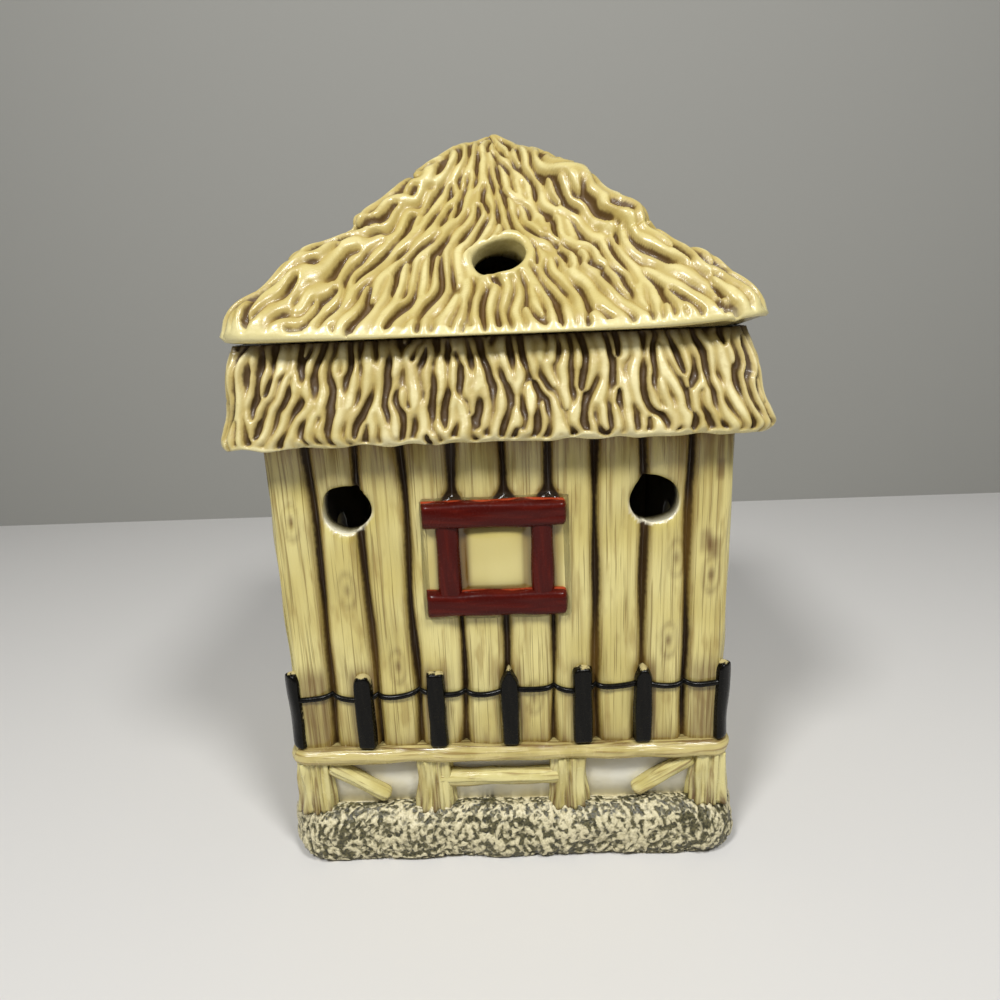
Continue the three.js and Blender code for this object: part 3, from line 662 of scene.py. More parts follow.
class Paint:
    """One material, laid on in layers of colour, and short ways to wire its nodes."""

    def __init__(self, name, coat=0.0):
        self.material = bpy.data.materials.new(name)
        self.material.use_nodes = True
        self.tree = self.material.node_tree
        self.set("Coat Weight", coat)
        self.set("Coat Roughness", COAT_ROUGHNESS)

    def feed(self, socket, value):
        """Gives a socket another node's output, a number, or a colour read off the photograph."""
        if isinstance(value, bpy.types.NodeSocket):
            self.tree.links.new(value, socket)
        else:
            socket.default_value = srgb(*value) if socket.type == "RGBA" else value

    def set(self, name, value):
        """Feeds a socket of the shader."""
        self.feed(self.tree.nodes["Principled BSDF"].inputs[name], value)

    def node(self, kind, inputs, **settings):
        """A new node with its settings made and its inputs fed, by name or number."""
        made = self.tree.nodes.new("ShaderNode" + kind)
        for name, value in settings.items():
            setattr(made, name, value)
        for key, value in inputs.items():
            self.feed(made.inputs[key], value)
        return made

    def painted(self, name):
        """A value that the points of the piece carry."""
        return self.node("Attribute", {}, attribute_name=name).outputs["Fac"]

    def scaled(self, vector, factors):
        """Coordinates times a factor on each axis."""
        return self.node("VectorMath", {0: vector, 1: factors}, operation="MULTIPLY").outputs["Vector"]

    def place(self, stretch=(1.0, 1.0, 1.0)):
        """Object coordinates, in millimetres, divided by a stretch on each axis."""
        source = self.node("TexCoord", {}).outputs["Object"]
        return self.scaled(source, [1.0 / (MM * value) for value in stretch])

    def noise(self, size, detail=3.0, distortion=0.0, place=None):
        """Noise whose features are about a size in millimetres, or times that of other coordinates."""
        place = self.place() if place is None else place
        inputs = {"Vector": place, "Scale": 1.0 / size, "Detail": detail, "Distortion": distortion}
        return self.node("TexNoise", inputs).outputs["Fac"]

    def grain(self, across, along, detail=3.0, distortion=0.0):
        """Noise that follows the grain, with the width and length of its features in millimetres."""
        flow = self.node("CombineXYZ", {"X": self.painted("across"), "Y": self.painted("along")})
        place = self.scaled(flow.outputs["Vector"], (1.0 / across, 1.0 / along, 1.0))
        return self.noise(1.0, detail, distortion, place)

    def between(self, value, low, high, start=0.0, end=1.0):
        """A soft step of a value from start at low to end at high."""
        inputs = {"Value": value, "From Min": low, "From Max": high, "To Min": start, "To Max": end}
        return self.node("MapRange", inputs, interpolation_type="SMOOTHSTEP").outputs["Result"]

    def reckon(self, operation, *values):
        """Arithmetic on two or three values."""
        return self.node("Math", dict(enumerate(values)), operation=operation).outputs["Value"]

    def ragged(self, value, fine, spread):
        """A value made uneven by noise over a spread."""
        return self.reckon("ADD", value, self.reckon("MULTIPLY_ADD", fine, spread, -0.5 * spread))

    def mix(self, share, one, other):
        """One colour going over into another."""
        return self.node("Mix", {0: share, 6: one, 7: other}, data_type="RGBA").outputs[2]

    def ground(self, value, low, high, one, other):
        """The first layer: one colour, and another where a value is high."""
        self.shown = self.mix(self.between(value, low, high), one, other)

    def lay(self, share, colour):
        """Lays a share of a colour over the layers so far."""
        self.shown = self.mix(share, self.shown, colour)

    def wash(self, value, low, high, most, colour):
        """Lays a colour over the layers so far where a value is high, and at most a share of it."""
        self.lay(self.between(value, low, high, 0.0, most), colour)

    def done(self, roughness, relief, height):
        """The finished material, with fine relief of a height in millimetres."""
        bump = self.node("Bump", {"Strength": 1.0, "Distance": height * MM, "Height": relief})
        self.set("Base Color", self.shown)
        self.set("Roughness", roughness)
        self.set("Normal", bump.outputs["Normal"])
        return self.material


def thatch_paint(name, light, shade, wash_light, wash_dark):
    """Straw glaze with painted shade on the flanks of its strands and brown wash left in the valleys, under a
    clear gloss.
    """
    paint = Paint(name, coat=0.14)
    cut, fine = paint.painted("cut"), paint.noise(1.6, 4.0)
    paint.ground(paint.noise(16.0, 2.0), 0.38, 0.64, light, shade)
    paint.wash(fine, 0.52, 0.75, 0.35, (176, 154, 84))
    # Painted shade on the flanks of the strands, darker towards the valleys.
    paint.wash(cut, -1.0, 0.0, 0.75, (172, 148, 76))
    brown = paint.mix(paint.between(paint.painted("deep"), 0.1, 0.75), wash_light, wash_dark)
    paint.wash(paint.ragged(cut, fine, 0.3), -0.12, 0.2, 1.0, brown)
    # Dark brown where a piece asks for it; on the skirt this is the lid's shadow, painted along its top.
    paint.lay(paint.painted("worn"), (70, 50, 26))
    paint.lay(paint.painted("bare"), (236, 228, 178))
    # Painted shade on the insides.
    paint.lay(paint.painted("soot"), INNER_SHADE)
    dry = paint.between(cut, -0.4, 0.4, 0.0, 0.3)
    return paint.done(paint.reckon("ADD", paint.between(fine, 0.3, 0.8, 0.24, 0.42), dry), fine, 0.12)


def plank_paint():
    """Cream glaze on planks: upright grain, knots, stains, painted shade and dark wash in the grooves."""
    paint = Paint("plank_glaze", coat=0.35)
    cut, fine = paint.painted("cut"), paint.noise(1.4, 4.0)
    streak, line = paint.grain(1.5, 30.0, 2.5, 0.4), paint.grain(0.5, 34.0, 2.0, 0.6)
    paint.ground(paint.noise(22.0, 2.0), 0.35, 0.66, (222, 209, 138), (204, 188, 112))
    paint.wash(streak, 0.50, 0.72, 0.6, (158, 134, 68))
    paint.wash(line, 0.56, 0.66, 0.7, (126, 104, 44))
    paint.wash(paint.grain(3.5, 13.0, 2.5), 0.54, 0.72, 0.55, (160, 134, 66))
    paint.wash(cut, -1.5, 0.1, 0.6, (136, 110, 46))
    # Brown over stains, knots and scrapes, and painted shade under the skirt, beside the pickets and round
    # the pane.
    streaky = paint.between(streak, 0.32, 0.6, 0.6, 1.0)
    paint.lay(paint.reckon("MULTIPLY", paint.painted("worn"), streaky), (106, 76, 24))
    brown = paint.mix(paint.between(paint.painted("deep"), 0.2, 0.8), (98, 72, 24), (46, 29, 3))
    paint.wash(paint.ragged(cut, fine, 0.6), -0.2, 0.6, 1.0, brown)
    paint.lay(paint.painted("bare"), (232, 226, 200))
    # Painted shade on the inside of the wall.
    paint.lay(paint.painted("soot"), INNER_SHADE)
    dry = paint.between(cut, -0.6, 0.4, 0.0, 0.3)
    relief = paint.reckon("ADD", streak, paint.reckon("MULTIPLY", line, 0.7))
    return paint.done(paint.reckon("ADD", paint.between(fine, 0.3, 0.8, 0.14, 0.28), dry), relief, 0.4)


def log_paint(name, light, shade):
    """Cream glaze on logs with brown grain lines, darker where wash has run together."""
    paint = Paint(name, coat=0.25)
    grain = paint.grain(0.8, 14.0, 3.0, 0.5)
    paint.ground(paint.noise(9.0, 2.0), 0.4, 0.65, light, shade)
    paint.wash(grain, 0.5, 0.66, 0.7, (136, 106, 54))
    paint.lay(paint.reckon("MULTIPLY", paint.painted("worn"), paint.between(grain, 0.36, 0.6)), (96, 66, 30))
    return paint.done(paint.between(paint.noise(1.4, 4.0), 0.3, 0.8, 0.16, 0.32), grain, 0.35)


def white_paint(name, light, warm):
    """Plain white glaze with a faint warm clouding."""
    paint = Paint(name, coat=0.3)
    fine = paint.noise(1.2)
    paint.ground(paint.noise(12.0), 0.35, 0.7, light, warm)
    return paint.done(paint.between(fine, 0.3, 0.8, 0.12, 0.24), fine, 0.06)


def rock_paint():
    """Cream dabs over a dark grey green ground."""
    paint = Paint("rock_glaze")
    fine, dabs = paint.noise(0.7), paint.noise(1.3, 1.5, 0.6)
    dark = paint.mix(paint.between(fine, 0.35, 0.65), (48, 46, 26), (100, 94, 62))
    pale = paint.mix(paint.between(fine, 0.4, 0.7), (222, 212, 174), (188, 178, 140))
    raised = paint.reckon("SUBTRACT", paint.between(dabs, 0.3, 0.7, -0.3, 0.3), paint.painted("cut"))
    blotch = paint.between(paint.noise(11.0), 0.42, 0.66, 0.0, 0.25)
    shade = paint.reckon("ADD", blotch, paint.reckon("MULTIPLY", paint.painted("worn"), 0.4))
    paint.ground(paint.reckon("SUBTRACT", raised, shade), -0.36, 0.24, dark, pale)
    return paint.done(paint.between(fine, 0.3, 0.8, 0.38, 0.6), dabs, 0.5)


def enamel_paint(name, deep, lighter, edge_and_highlight_colour, spread):
    """Glossy enamel, rubbed through along its edges, with a painted highlight on the upper edges."""
    paint = Paint(name, coat=0.03)
    paint.set("Specular IOR Level", 0.15)
    fine, streak = paint.noise(0.8, 4.0), paint.grain(1.4, 12.0, 3.0, 0.4)
    paint.ground(streak, 0.4, 0.7, deep, lighter)
    # Rubbed edges, and a painted highlight on the upper edges, in the edge colour.
    paint.wash(paint.ragged(paint.painted("worn"), fine, spread), 0.55, 0.85, 1.0, edge_and_highlight_colour)
    return paint.done(paint.between(fine, 0.3, 0.8, 0.2, 0.32), streak, 0.12)


def wax_paint(name, light, warm):
    """Soft wax: a cloudy colour that lets light a little way in."""
    paint = Paint(name)
    paint.set("Subsurface Weight", 0.25)
    paint.set("Subsurface Scale", 1.5 * MM)
    cloud = paint.noise(6.0)
    paint.ground(cloud, 0.35, 0.65, light, warm)
    return paint.done(paint.between(paint.noise(0.9, 4.0), 0.3, 0.7, 0.36, 0.55), cloud, 0.3)


def sheet_paint(name, bright, dull):
    """Thin drawn sheet metal with faint scratches round it."""
    paint = Paint(name)
    paint.set("Metallic", 1.0)
    scratch = paint.noise(1.0, place=paint.place((6.0, 6.0, 0.25)))
    paint.ground(paint.noise(5.0), 0.35, 0.65, bright, dull)
    return paint.done(paint.between(scratch, 0.35, 0.7, 0.22, 0.42), scratch, 0.04)


def cotton_paint():
    """Waxed cotton, darker between the strands of its braid."""
    paint = Paint("cotton")
    twist = paint.noise(1.0, 3.0, 0.8, paint.place((0.5, 0.5, 0.3)))
    paint.ground(twist, 0.4, 0.6, (236, 230, 214), (196, 186, 164))
    return paint.done(paint.between(twist, 0.3, 0.7, 0.6, 0.9), twist, 0.2)


thatch = thatch_paint("thatch_glaze", (221, 208, 148), (203, 187, 120), (146, 119, 48), (88, 62, 12))
skirt_thatch = thatch_paint("skirt_glaze", (228, 216, 164), (207, 193, 134), (136, 110, 46), (72, 50, 8))
planks = plank_paint()
logs = log_paint("log_glaze", (220, 209, 144), (200, 186, 116))
deck_logs = log_paint("deck_glaze", (205, 189, 124), (188, 171, 104))
white = white_paint("white_glaze", (244, 241, 226), (234, 227, 200))
rock = rock_paint()
red = enamel_paint("red_enamel", (66, 13, 8), (84, 20, 11), (160, 62, 33), 0.2)
black = enamel_paint("black_enamel", (8, 7, 5), (18, 16, 12), (186, 172, 120), 1.4)
dish_glaze = white_paint("dish_glaze", (236, 228, 204), (226, 214, 178))
scented = wax_paint("scented_wax", (238, 214, 160), (226, 196, 136))
paraffin = wax_paint("paraffin", (246, 243, 232), (238, 233, 216))
aluminium = sheet_paint("cup_aluminium", (214, 216, 220), (190, 193, 198))
tin = sheet_paint("tin_plate", (192, 194, 196), (166, 168, 172))
cotton = cotton_paint()


# Plank walls

def plank_edges(side, level):
    """Where the grooves of a side lie at each level, from the middle of the side."""
    count = FRONT_PLANKS if side % 2 == 0 else SIDE_PLANKS
    index = np.arange(count + 1)
    spots = stacked(index * 37.0 + side * 11.0, 0.0, level[:, None])
    shift = PLANK_DRIFT * np.sin(math.pi * (index - 3.5) / 8) + PLANK_SWAY * waves(5, 38.0, spots)
    shift[:, [0, -1]] = 0.0
    return (2.0 * index / count - 1.0) * side_half(side) + shift


def plank_grid(level):
    """Flat places round the wall for each level. Tells of each its side, its share of the way across
    its plank, the plank's width, and whether there is a groove at the nearer edge."""
    share = eased(np.arange(PLANK_COLUMNS) / PLANK_COLUMNS)
    columns = []
    for side in range(4):
        edges = plank_edges(side, level)
        last = edges.shape[1] - 2
        for plank in range(last + 1):
            width = edges[:, plank + 1, None] - edges[:, plank, None]
            around = edges[:, plank, None] + width * share + side_middle(side)
            grooved = np.where(share < 0.5, plank > 0, plank < last)
            columns.append(np.broadcast_arrays(around, side, share, width, grooved))
    around, *rest = (np.concatenate(kind, 1) for kind in zip(*columns))
    return stacked(around, level[:, None]), *rest


def disc(middle_x, middle_z, radius, seed):
    """The outline of a hand cut round hole."""
    def outline(flat):
        over, up = flat[..., 0] - middle_x, flat[..., 1] - middle_z
        angle = np.arctan2(up, over)
        wobble = 0.16 * np.sin(3 * angle + seed) + 0.12 * np.sin(5 * angle + 2.1 * seed)
        return np.hypot(over, up) - radius - wobble
    return outline


def arch(flat):
    """The outline of the door in the back wall."""
    over, up = flat[..., 0] - side_middle(2), flat[..., 1] - DOOR_SPRING
    above = np.hypot(over, np.maximum(up, 0.0)) - DOOR_HALF
    return np.maximum(above, FLOOR_TOP - flat[..., 1])


WALL_HOLES = [
    disc(side_middle(0) - VENT_X, VENT_HEIGHT, VENT_RADIUS, 1.0),
    disc(side_middle(0) + VENT_X, VENT_HEIGHT, VENT_RADIUS, 2.4),
    disc(side_middle(1), SIDE_VENT_HEIGHT, VENT_RADIUS, 3.1),
    disc(side_middle(3), SIDE_VENT_HEIGHT, VENT_RADIUS, 4.5),
    arch,
]


def within(over, up, half_x, half_z):
    """1 inside of a rectangle, going softly to 0 at its edge."""
    return smooth(np.maximum(np.abs(over) - half_x, np.abs(up) - half_z), 0.4, -0.4)


def knots(flat):
    """How strongly the knots mark the wall: a dark almond in a faint ring. They repeat on every side."""
    mark = np.zeros(flat.shape[:-1])
    for x, z in KNOTS:
        for side in range(4):
            drop = side * KNOT_SIDE_DROP if side % 2 else 0.0
            over = (flat[..., 0] - side_middle(side) - x * (1 if side < 2 else -1)) / KNOT_HALF_X
            away = np.hypot(over, (flat[..., 1] - z + drop) / KNOT_HALF_Z)
            mark = np.maximum(mark, bell(away, 0.4) + 0.45 * bell(away - 1.05, 0.24))
    return mark


def stain_and_painted_shade(across, height):
    """Brown stain just above the deck, painted shade under the skirt that is partly brown wash, and painted
    shadow beside the pickets that is partly brown stain.
    """
    gap = np.min([np.abs(across - x) for x in FRONT_PICKETS], 0) - PICKET_WIDTH / 2
    top = DECK_TOP + PICKET_HEIGHT
    beside = 0.8 * fading(gap, 0.9) * smooth(height, top + 3, top - 3)
    low, high = 0.9 * fading(height - DECK_TOP, 2.6), fading(SKIRT_BOTTOM - height, 8.0)
    return np.maximum.reduce([low, high, beside])


def wall_piece():
    """The plank wall with its vents and door, as thick as the casting."""
    flat, sides, shares, widths, grooved = plank_grid(np.linspace(WALL_FOOT, WALL_HEAD, PLANK_ROWS))
    gone = np.zeros((PLANK_ROWS - 1, flat.shape[1]), bool)
    rims = [open_hole(flat, gone, outline) for outline in WALL_HOLES]
    around, height = flat[..., 0], flat[..., 1]
    across = around - side_middle(0)
    over, up = across - WINDOW_X, height - WINDOW_LEVEL
    lip = np.min([outline(flat) for outline in WALL_HOLES], 0)

    # planks and grooves, which widen where they end on the window
    near = np.where(grooved, np.minimum(shares, 1.0 - shares) * widths, GROOVE_REACH + 1.0)
    above = up - FRAME_HEIGHT / 2
    ends = smooth(np.abs(over), FRAME_WIDTH / 2 + 2, FRAME_WIDTH / 2 - 1) * (above > -1.0)
    ends *= bell(np.maximum(above, 0.0), 1.6, 1.5)
    half_groove = PLANK_GROOVE_HALF + 0.2 * waves(11, 24.0, flat) + 1.9 * ends
    half_groove += 0.25 * smooth(height, 60.0, SKIRT_BOTTOM)
    bow = np.where(grooved, np.abs(2.0 * shares - 1.0), 0.0)
    push = 0.10 * waves(21, 3.2, flat * [1.0, 0.16]) + 0.12 * waves(22, 14.0, flat) - 0.2
    push -= PLANK_CROWN * bow ** 2.6 + PLANK_GROOVE * bell(near, 0.9 * half_groove)
    knotted = knots(flat)
    push -= KNOT_DEPTH * knotted

    # the window's panel, flat but for the pane that swells between the boards
    panel = within(over, up, FRAME_WIDTH / 2, FRAME_HEIGHT / 2)
    pane = dome(over / PANE_HALF_X, 6) * dome(up / PANE_HALF_Z, 6)
    push = push * (1.0 - panel) + panel * (PANE_SWELL * pane - PANEL_SUNK) - 0.7 * fading(lip, 0.8)
    spots, _ = edge(WALL, sides, along_side(around, sides), push)

    # the boards reach past the stiles, and there the grooves run on in the glaze
    plain = within(over, up, (STILE_SPACING + STILE) / 2, FRAME_HEIGHT / 2 - 1)
    scraped = sum(bell(across - x, SCRAPE_HALF_X, 4) * bell(height - z, SCRAPE_HALF_Z, 4) for x, z in SCRAPES)
    # Painted shade round the edge of the pane, where it sinks between the boards, partly brown wash; the
    # swollen middle of the pane stays pale.
    pane_edge_shade_and_wash = (0.9 * bell(pane - 0.2, 0.45) + 0.14) * plain
    over_boards = 0.9 * ends * smooth(near, 3.4, 1.2)
    vent_level = np.where(sides % 2 == 0, VENT_HEIGHT, SIDE_VENT_HEIGHT)
    calm = 1.0 - 0.94 * panel
    skin = Skin()
    numbers = skin.add(
        lifted(spots, height),
        across=around * calm,
        along=height * calm,
        cut=run_out(half_groove - near, 1 - plain),
        # The wash in the grooves darkens towards the top, partly painted shade under the skirt.
        deep=np.clip(0.72 + 0.25 * waves(31, 30.0, flat) + 0.4 * smooth(height, 95.0, 113.0), 0, 1),
        # Stains, knots, scrapes, and painted shade under the skirt, beside the pickets and round the pane.
        worn=np.maximum.reduce([stain_and_painted_shade(across, height), knotted, pane_edge_shade_and_wash, over_boards, 0.8 * scraped]),
        bare=smooth(lip, 0.6, 0.0) * smooth(height - vent_level, 2.0, -4.0),
    )
    skin.grid(numbers, ~gone, closed=True)
    inner_wall(skin, numbers, rims)
    skin.piece("hut_walls", planks)


def inner_wall(skin, numbers, rims):
    """The smooth inside of the wall, joined to the outside at its rims and through its openings."""
    rows, columns = 44, 60
    side, along = each_side(columns)
    level = np.linspace(WALL_FOOT, WALL_HEAD, rows)
    flat = stacked(side_middle(side) + along * side_half(side), level[:, None])
    gone = np.zeros((rows - 1, 4 * columns), bool)
    inner_rims = [open_hole(flat, gone, outline) for outline in WALL_HOLES]
    # the inside is smaller than the wall, so places on its straight parts keep their distance from the middle
    along = along_side(flat[..., 0], side)
    straight = smooth(1 - np.abs(along), 0.0, 0.2)
    kept = np.clip(along * side_half(side) / side_half(side, INNER), -1, 1)
    spots, _ = edge(INNER, side, kept * straight + along * (1 - straight))
    # The inside is painted dark, as painted shade over its white glaze.
    inside = skin.add(lifted(spots, flat[..., 1]), soot=1.0)
    skin.grid(inside, ~gone, closed=True)
    for outer, inner in [(0, 0), (-1, -1), *zip(rims, inner_rims)]:
        skin.bridge(numbers[outer], inside[inner])


# Thatch skirt

def skirt_piece():
    """The flared skirt with its strands, and the mouth and dish ledge inside it."""
    around, side, along = round_wall(columns=1000)
    up = np.linspace(0.0, 1.0, 62)[:, None]
    flat = stacked(around, up * SKIRT_HEIGHT)
    cut, deep = skirt_sheet().read(flat)
    cut = run_out(cut, smooth(up + 0.02 * waves(47, 5.0, flat), -0.01, 0.05))
    x = edge(WALL, side, along)[0][..., 0]
    drawn_in = np.where(x < -40.0, SKIRT_LIP_LEFT, SKIRT_LIP) * ramp(up, 0.12, 0.0) ** 2
    out = SKIRT_TOP_OUT + SKIRT_BULGE * (1 - up) ** 0.95 - drawn_in
    out += 0.25 * np.clip(waves(44, 11.0, flat), -2, 0.6) - 0.15
    swell = np.where(x < 0, SKIRT_LEFT_SWELL, SKIRT_RIGHT_SWELL)
    out += swell * smooth(np.abs(x), 48.0, 57.0) * smooth(up, 0.25, 0.85)
    drop = 0.22 * waves(45, 5.0, flat * [1.0, 0.0]) * (1 - up) ** 9
    spots, _ = edge(grown(WALL, out, 7.0), side, along, -carved(cut, deep, SKIRT_RIDGE, SKIRT_VALLEY_DEPTH))
    skin = Skin()
    numbers = skin.add(
        lifted(spots, SKIRT_BOTTOM + flat[..., 1] + drop),
        # The dark band along the top of the skirt is painted shadow of the lid.
        cut=cut, deep=deep, across=around, along=flat[..., 1], worn=0.85 * smooth(up, 0.86, 1.0),
    )
    skin.grid(numbers, closed=True)
    # The mouth and ledge inside are painted dark, as painted shade.
    low, high = skin.lining([
        (INNER, SKIRT_BOTTOM),
        (INNER, LEDGE_BOTTOM - 5.0),
        (THROAT, LEDGE_BOTTOM),
        (THROAT, LEDGE_TOP),
        (INNER, LEDGE_TOP),
        (INNER, MOUTH),
    ], soot=1.0)
    skin.bridge(numbers[0], low)
    skin.bridge(numbers[-1], high)
    skin.piece("thatch_skirt", skirt_thatch)


# Roof

def on_slope(flat, vent_y):
    """How far across and down the front slope points lie from the middle of the vent."""
    return flat[..., 0] - ROOF_VENT_X, (flat[..., 1] - vent_y) * ROOF_SLOPE


def roof_hole(flat):
    """The outline of the vent on the outside of the roof."""
    over, down = on_slope(flat, ROOF_VENT_Y)
    angle = np.arctan2(down, over)
    return np.hypot(over, down) - ROOF_VENT_RADIUS - 0.2 * np.sin(2 * angle + 1.0) - 0.12 * np.sin(3 * angle)


def roof_grid(plan, count, outline):
    """A square grid of flat points over a roof, with the vent opened in it. Tells the cells that stay, the
    vent's rim, and of each point its side, how far down it lies from the apex, and how far along its side."""
    steps = np.arange(-count, count + 1) / count
    flat = stacked(steps * plan.half_x, steps[:, None] * plan.half_y)
    gone = np.zeros((2 * count, 2 * count), bool)
    rim = open_hole(flat, gone, outline)
    over, up = flat[..., 0] / plan.half_x, flat[..., 1] / plan.half_y
    down = np.maximum(np.abs(over), np.abs(up))
    lengthwise = np.abs(up) >= np.abs(over)
    side = np.where(lengthwise, np.where(up < 0, 0, 2), np.where(over > 0, 1, 3))
    along = np.choose(side, [over, up, -over, -up]) / np.maximum(down, 1e-9)
    return flat, ~gone, rim, side, down, np.clip(along, -1.0, 1.0)


def hips(side, down, along):
    """The thick roll of thatch on the upper part of each hip, and how the lower part is lifted."""
    from_hip = (1.0 - np.abs(along)) * side_half(side, ROOF) * down
    left = (side == 3) | ((side == 0) & (along < 0))
    hip = Hip(*(np.where(left, one, other) for one, other in zip(LEFT_HIP, RIGHT_HIP)))
    roll = hip.height * bell(from_hip, ROLL_HALF) * smooth(down, 0.0, hip.full)
    roll *= smooth(down, hip.end + hip.soft, hip.end - hip.soft)
    bulge = np.sqrt(np.sin(math.pi * ramp(down, hip.end, 1.0)))
    return roll, hip.lift * bulge * bell(from_hip, LIFT_HALF)


def lid_piece():
    """The hipped roof with its thatch, vent, rim and hollow inside."""
    flat, stay, rim, side, down, along = roof_grid(ROOF, 140, roof_hole)
    spots, outward = edge(ROOF, side, along)
    spots = spots * down[..., None] + stacked(APEX_ASIDE * (1.0 - down), 0.0)

    # strands that run out at the rim and round the vent
    cut, deep = roof_sheet().read(spots / (0.80 + 0.26 * down)[..., None])
    lip = roof_hole(flat)
    ragged = waves(57, 5.0, spots)
    cut = run_out(cut, smooth(down + 0.003 * ragged, 1.004, 0.992) * smooth(lip + 0.6 * ragged, 0.4, 2.0))
    push = -carved(cut, deep, ROOF_RIDGE, ROOF_VALLEY_DEPTH) * smooth(down, 0.0, 0.05)
    push += (0.45 * waves(55, 14.0, spots) - 0.4) * smooth(down, 1.0, 0.9) * smooth(down, 0.0, 0.1)
    roll, lift = hips(side, down, along)
    push += roll + np.sin(math.pi * ramp(down, 0.0, 0.45))
    push += 0.7 * (1.0 + 0.7 * waves(56, 7.0, spots)) * bell(lip - 1.4, 1.1) - 0.6 * fading(lip, 0.6)

    # slopes that turn over at the rim and lift towards the corners
    blunt = np.hypot(down, 0.01 * (1 - down))
    turn_over = ramp(down, RIM_START, 1.0)
    level = EAVE + ROOF_RISE * (1 - blunt) + CORNER_LIFT * along ** 2 * down ** 4 + lift
    level -= RIM_DROP * (1 - np.sqrt(1 - turn_over ** 2))
    normal = lifted(outward * ROOF_RISE, side_half(side + 1, ROOF))
    normal /= np.linalg.norm(normal, axis=-1)[..., None]
    skin = Skin()
    numbers = skin.add(
        lifted(spots, level) + normal * push[..., None],
        cut=cut, deep=deep, bare=0.3 * smooth(down, 0.985, 1.0),
        across=np.arctan2(spots[..., 0], -spots[..., 1]) * 40.0, along=np.linalg.norm(spots, axis=-1),
    )
    skin.grid(numbers, stay)
    lid_rim(skin, border(numbers), lid_inside(skin, numbers[rim]))
    skin.piece("thatch_roof", thatch, "lid", "roof_lid")


def lid_rim(skin, outer, under):
    """The smooth rounded rim below the thatch, and the seat and lip under it."""
    spots = skin.spots()[outer]
    out = lifted(spots[:, :2] / np.linalg.norm(spots[:, :2], axis=1)[:, None], 0.0)
    # the rim is thinner where the eave rises, towards the right
    rising = 1.0 - 0.5 * smooth(spots[:, :1], 34.0, 60.0)
    fall = (spots[:, 2:] - EAVE + 2.2) * rising * UP
    thick = fall[:, 2:] * out
    middle = skin.follow(outer, 0.22 * thick - 0.45 * fall, bare=0.3)
    low = skin.follow(middle, -0.4 * thick - 0.45 * fall, bare=0.2)
    # The underside of the rim and the seat under it are painted dark brown.
    edge_in = skin.follow(low, -1.2 * out - 0.1 * fall, worn=0.6)
    seat = skin.hoop(grown(WALL, SKIRT_TOP_OUT, 9.0), LID_BOTTOM, worn=0.7)
    lip = grown(INNER, -LOOSE)
    # The lip under the lid is painted dark, as painted shade.
    corner, tip = skin.lining([(lip, LID_BOTTOM), (grown(lip, -0.4), LID_BOTTOM - LIP_DEPTH)], soot=0.6)
    skin.bridge(edge_in, seat)
    skin.band(seat, corner)
    skin.bridge(tip, under)


def lid_inside(skin, rim):
    """The hollow of the lid, parallel to its slopes, open at the vent. Returns its lower edge."""
    top = APEX - ROOF_THICKNESS * ROOF_SLOPE
    rise = top - LID_SHOULDER
    scale = rise / ROOF_RISE
    wide = Plan(ROOF.half_x * scale, ROOF.half_y * scale, 6.0)
    # the vent meets the inner slope lower down by the thickness of the thatch
    vent_y = ROOF_VENT_Y + ROOF_THICKNESS * ROOF_RISE / ROOF_FALL

    def outline(flat):
        return np.hypot(*on_slope(flat, vent_y)) - ROOF_VENT_RADIUS + 0.3

    _, stay, inner_rim, side, down, along = roof_grid(wide, 34, outline)
    spots, _ = edge(wide, side, along)
    # The hollow, its lip and the vent's bore are painted dark, as painted shade, lighter in the bore.
    numbers = skin.add(lifted(spots * down[..., None], top - rise * down), soot=1.0)
    skin.grid(numbers, stay)
    into_slope = np.array([0.0, ROOF_RISE, -ROOF.half_y]) / ROOF_FALL
    bore = skin.follow(skin.follow(rim, into_slope * 0.8), into_slope * 2.6, soot=0.25)
    skin.bridge(bore, numbers[inner_rim])
    edge_low = skin.hoop(grown(INNER, -LOOSE - LIP_THICKNESS), LID_BOTTOM, soot=1.0)
    skin.bridge(border(numbers), edge_low)
    return skin.follow(edge_low, -LIP_DEPTH * UP, soot=0.8)


# Rock, stilts and deck

def base_piece():
    """The rocky ring that the hut stands on, with raised dabs all over."""
    around, side, along = round_wall(columns=1200)
    up = np.linspace(0.0, 1.0, 56)[:, None]
    over_top = ramp(up, BASE_SHOULDER, 1.0)
    rise_up = eased(ramp(up, 0.0, BASE_SHOULDER))
    out = BASE_OVERHANG - DAB_REACH - BASE_FOOT_IN * (1 - rise_up) ** 12
    out -= BASE_TOP_IN * rise_up ** 7 + 2.0 * over_top
    height = BASE_TOP * rise_up
    shape = grown(WALL, out, 11.0)
    spots = lifted(edge(shape, side, along)[0], height)
    lumps = 0.55 * waves(61, 17.0, spots) + 0.3 * waves(62, 7.0, spots)
    cut, deep = dab_sheet().read(stacked(around, up * DAB_SHEET_HEIGHT))
    rise = 0.6 * smooth(cut, 0.1, -0.5)
    push = np.minimum((0.6 * lumps + rise) * smooth(up, 0.0, 0.08), DAB_REACH)
    places, _ = edge(shape, side, along, push)
    skin = Skin()
    numbers = skin.add(
        lifted(places, height + 0.35 * rise * over_top), cut=cut, deep=deep, across=around, along=height,
        # Darker towards the foot, and a little over the top.
        worn=smooth(up, 0.42, 0.0) + 0.3 * smooth(up, 0.6, 0.9),
    )
    skin.grid(numbers, closed=True)
    inner_top = skin.hoop(grown(STILT_WALL, -1.0), BASE_TOP - 1.0)
    inner_mid, foot = skin.lining([(RECESS, BASE_TOP - 1.0), (RECESS, 0.0)])
    skin.band(inner_top, inner_mid)
    skin.bridge(numbers[-1], inner_top)
    skin.bridge(foot, numbers[0])
    skin.piece("rock_base", rock)


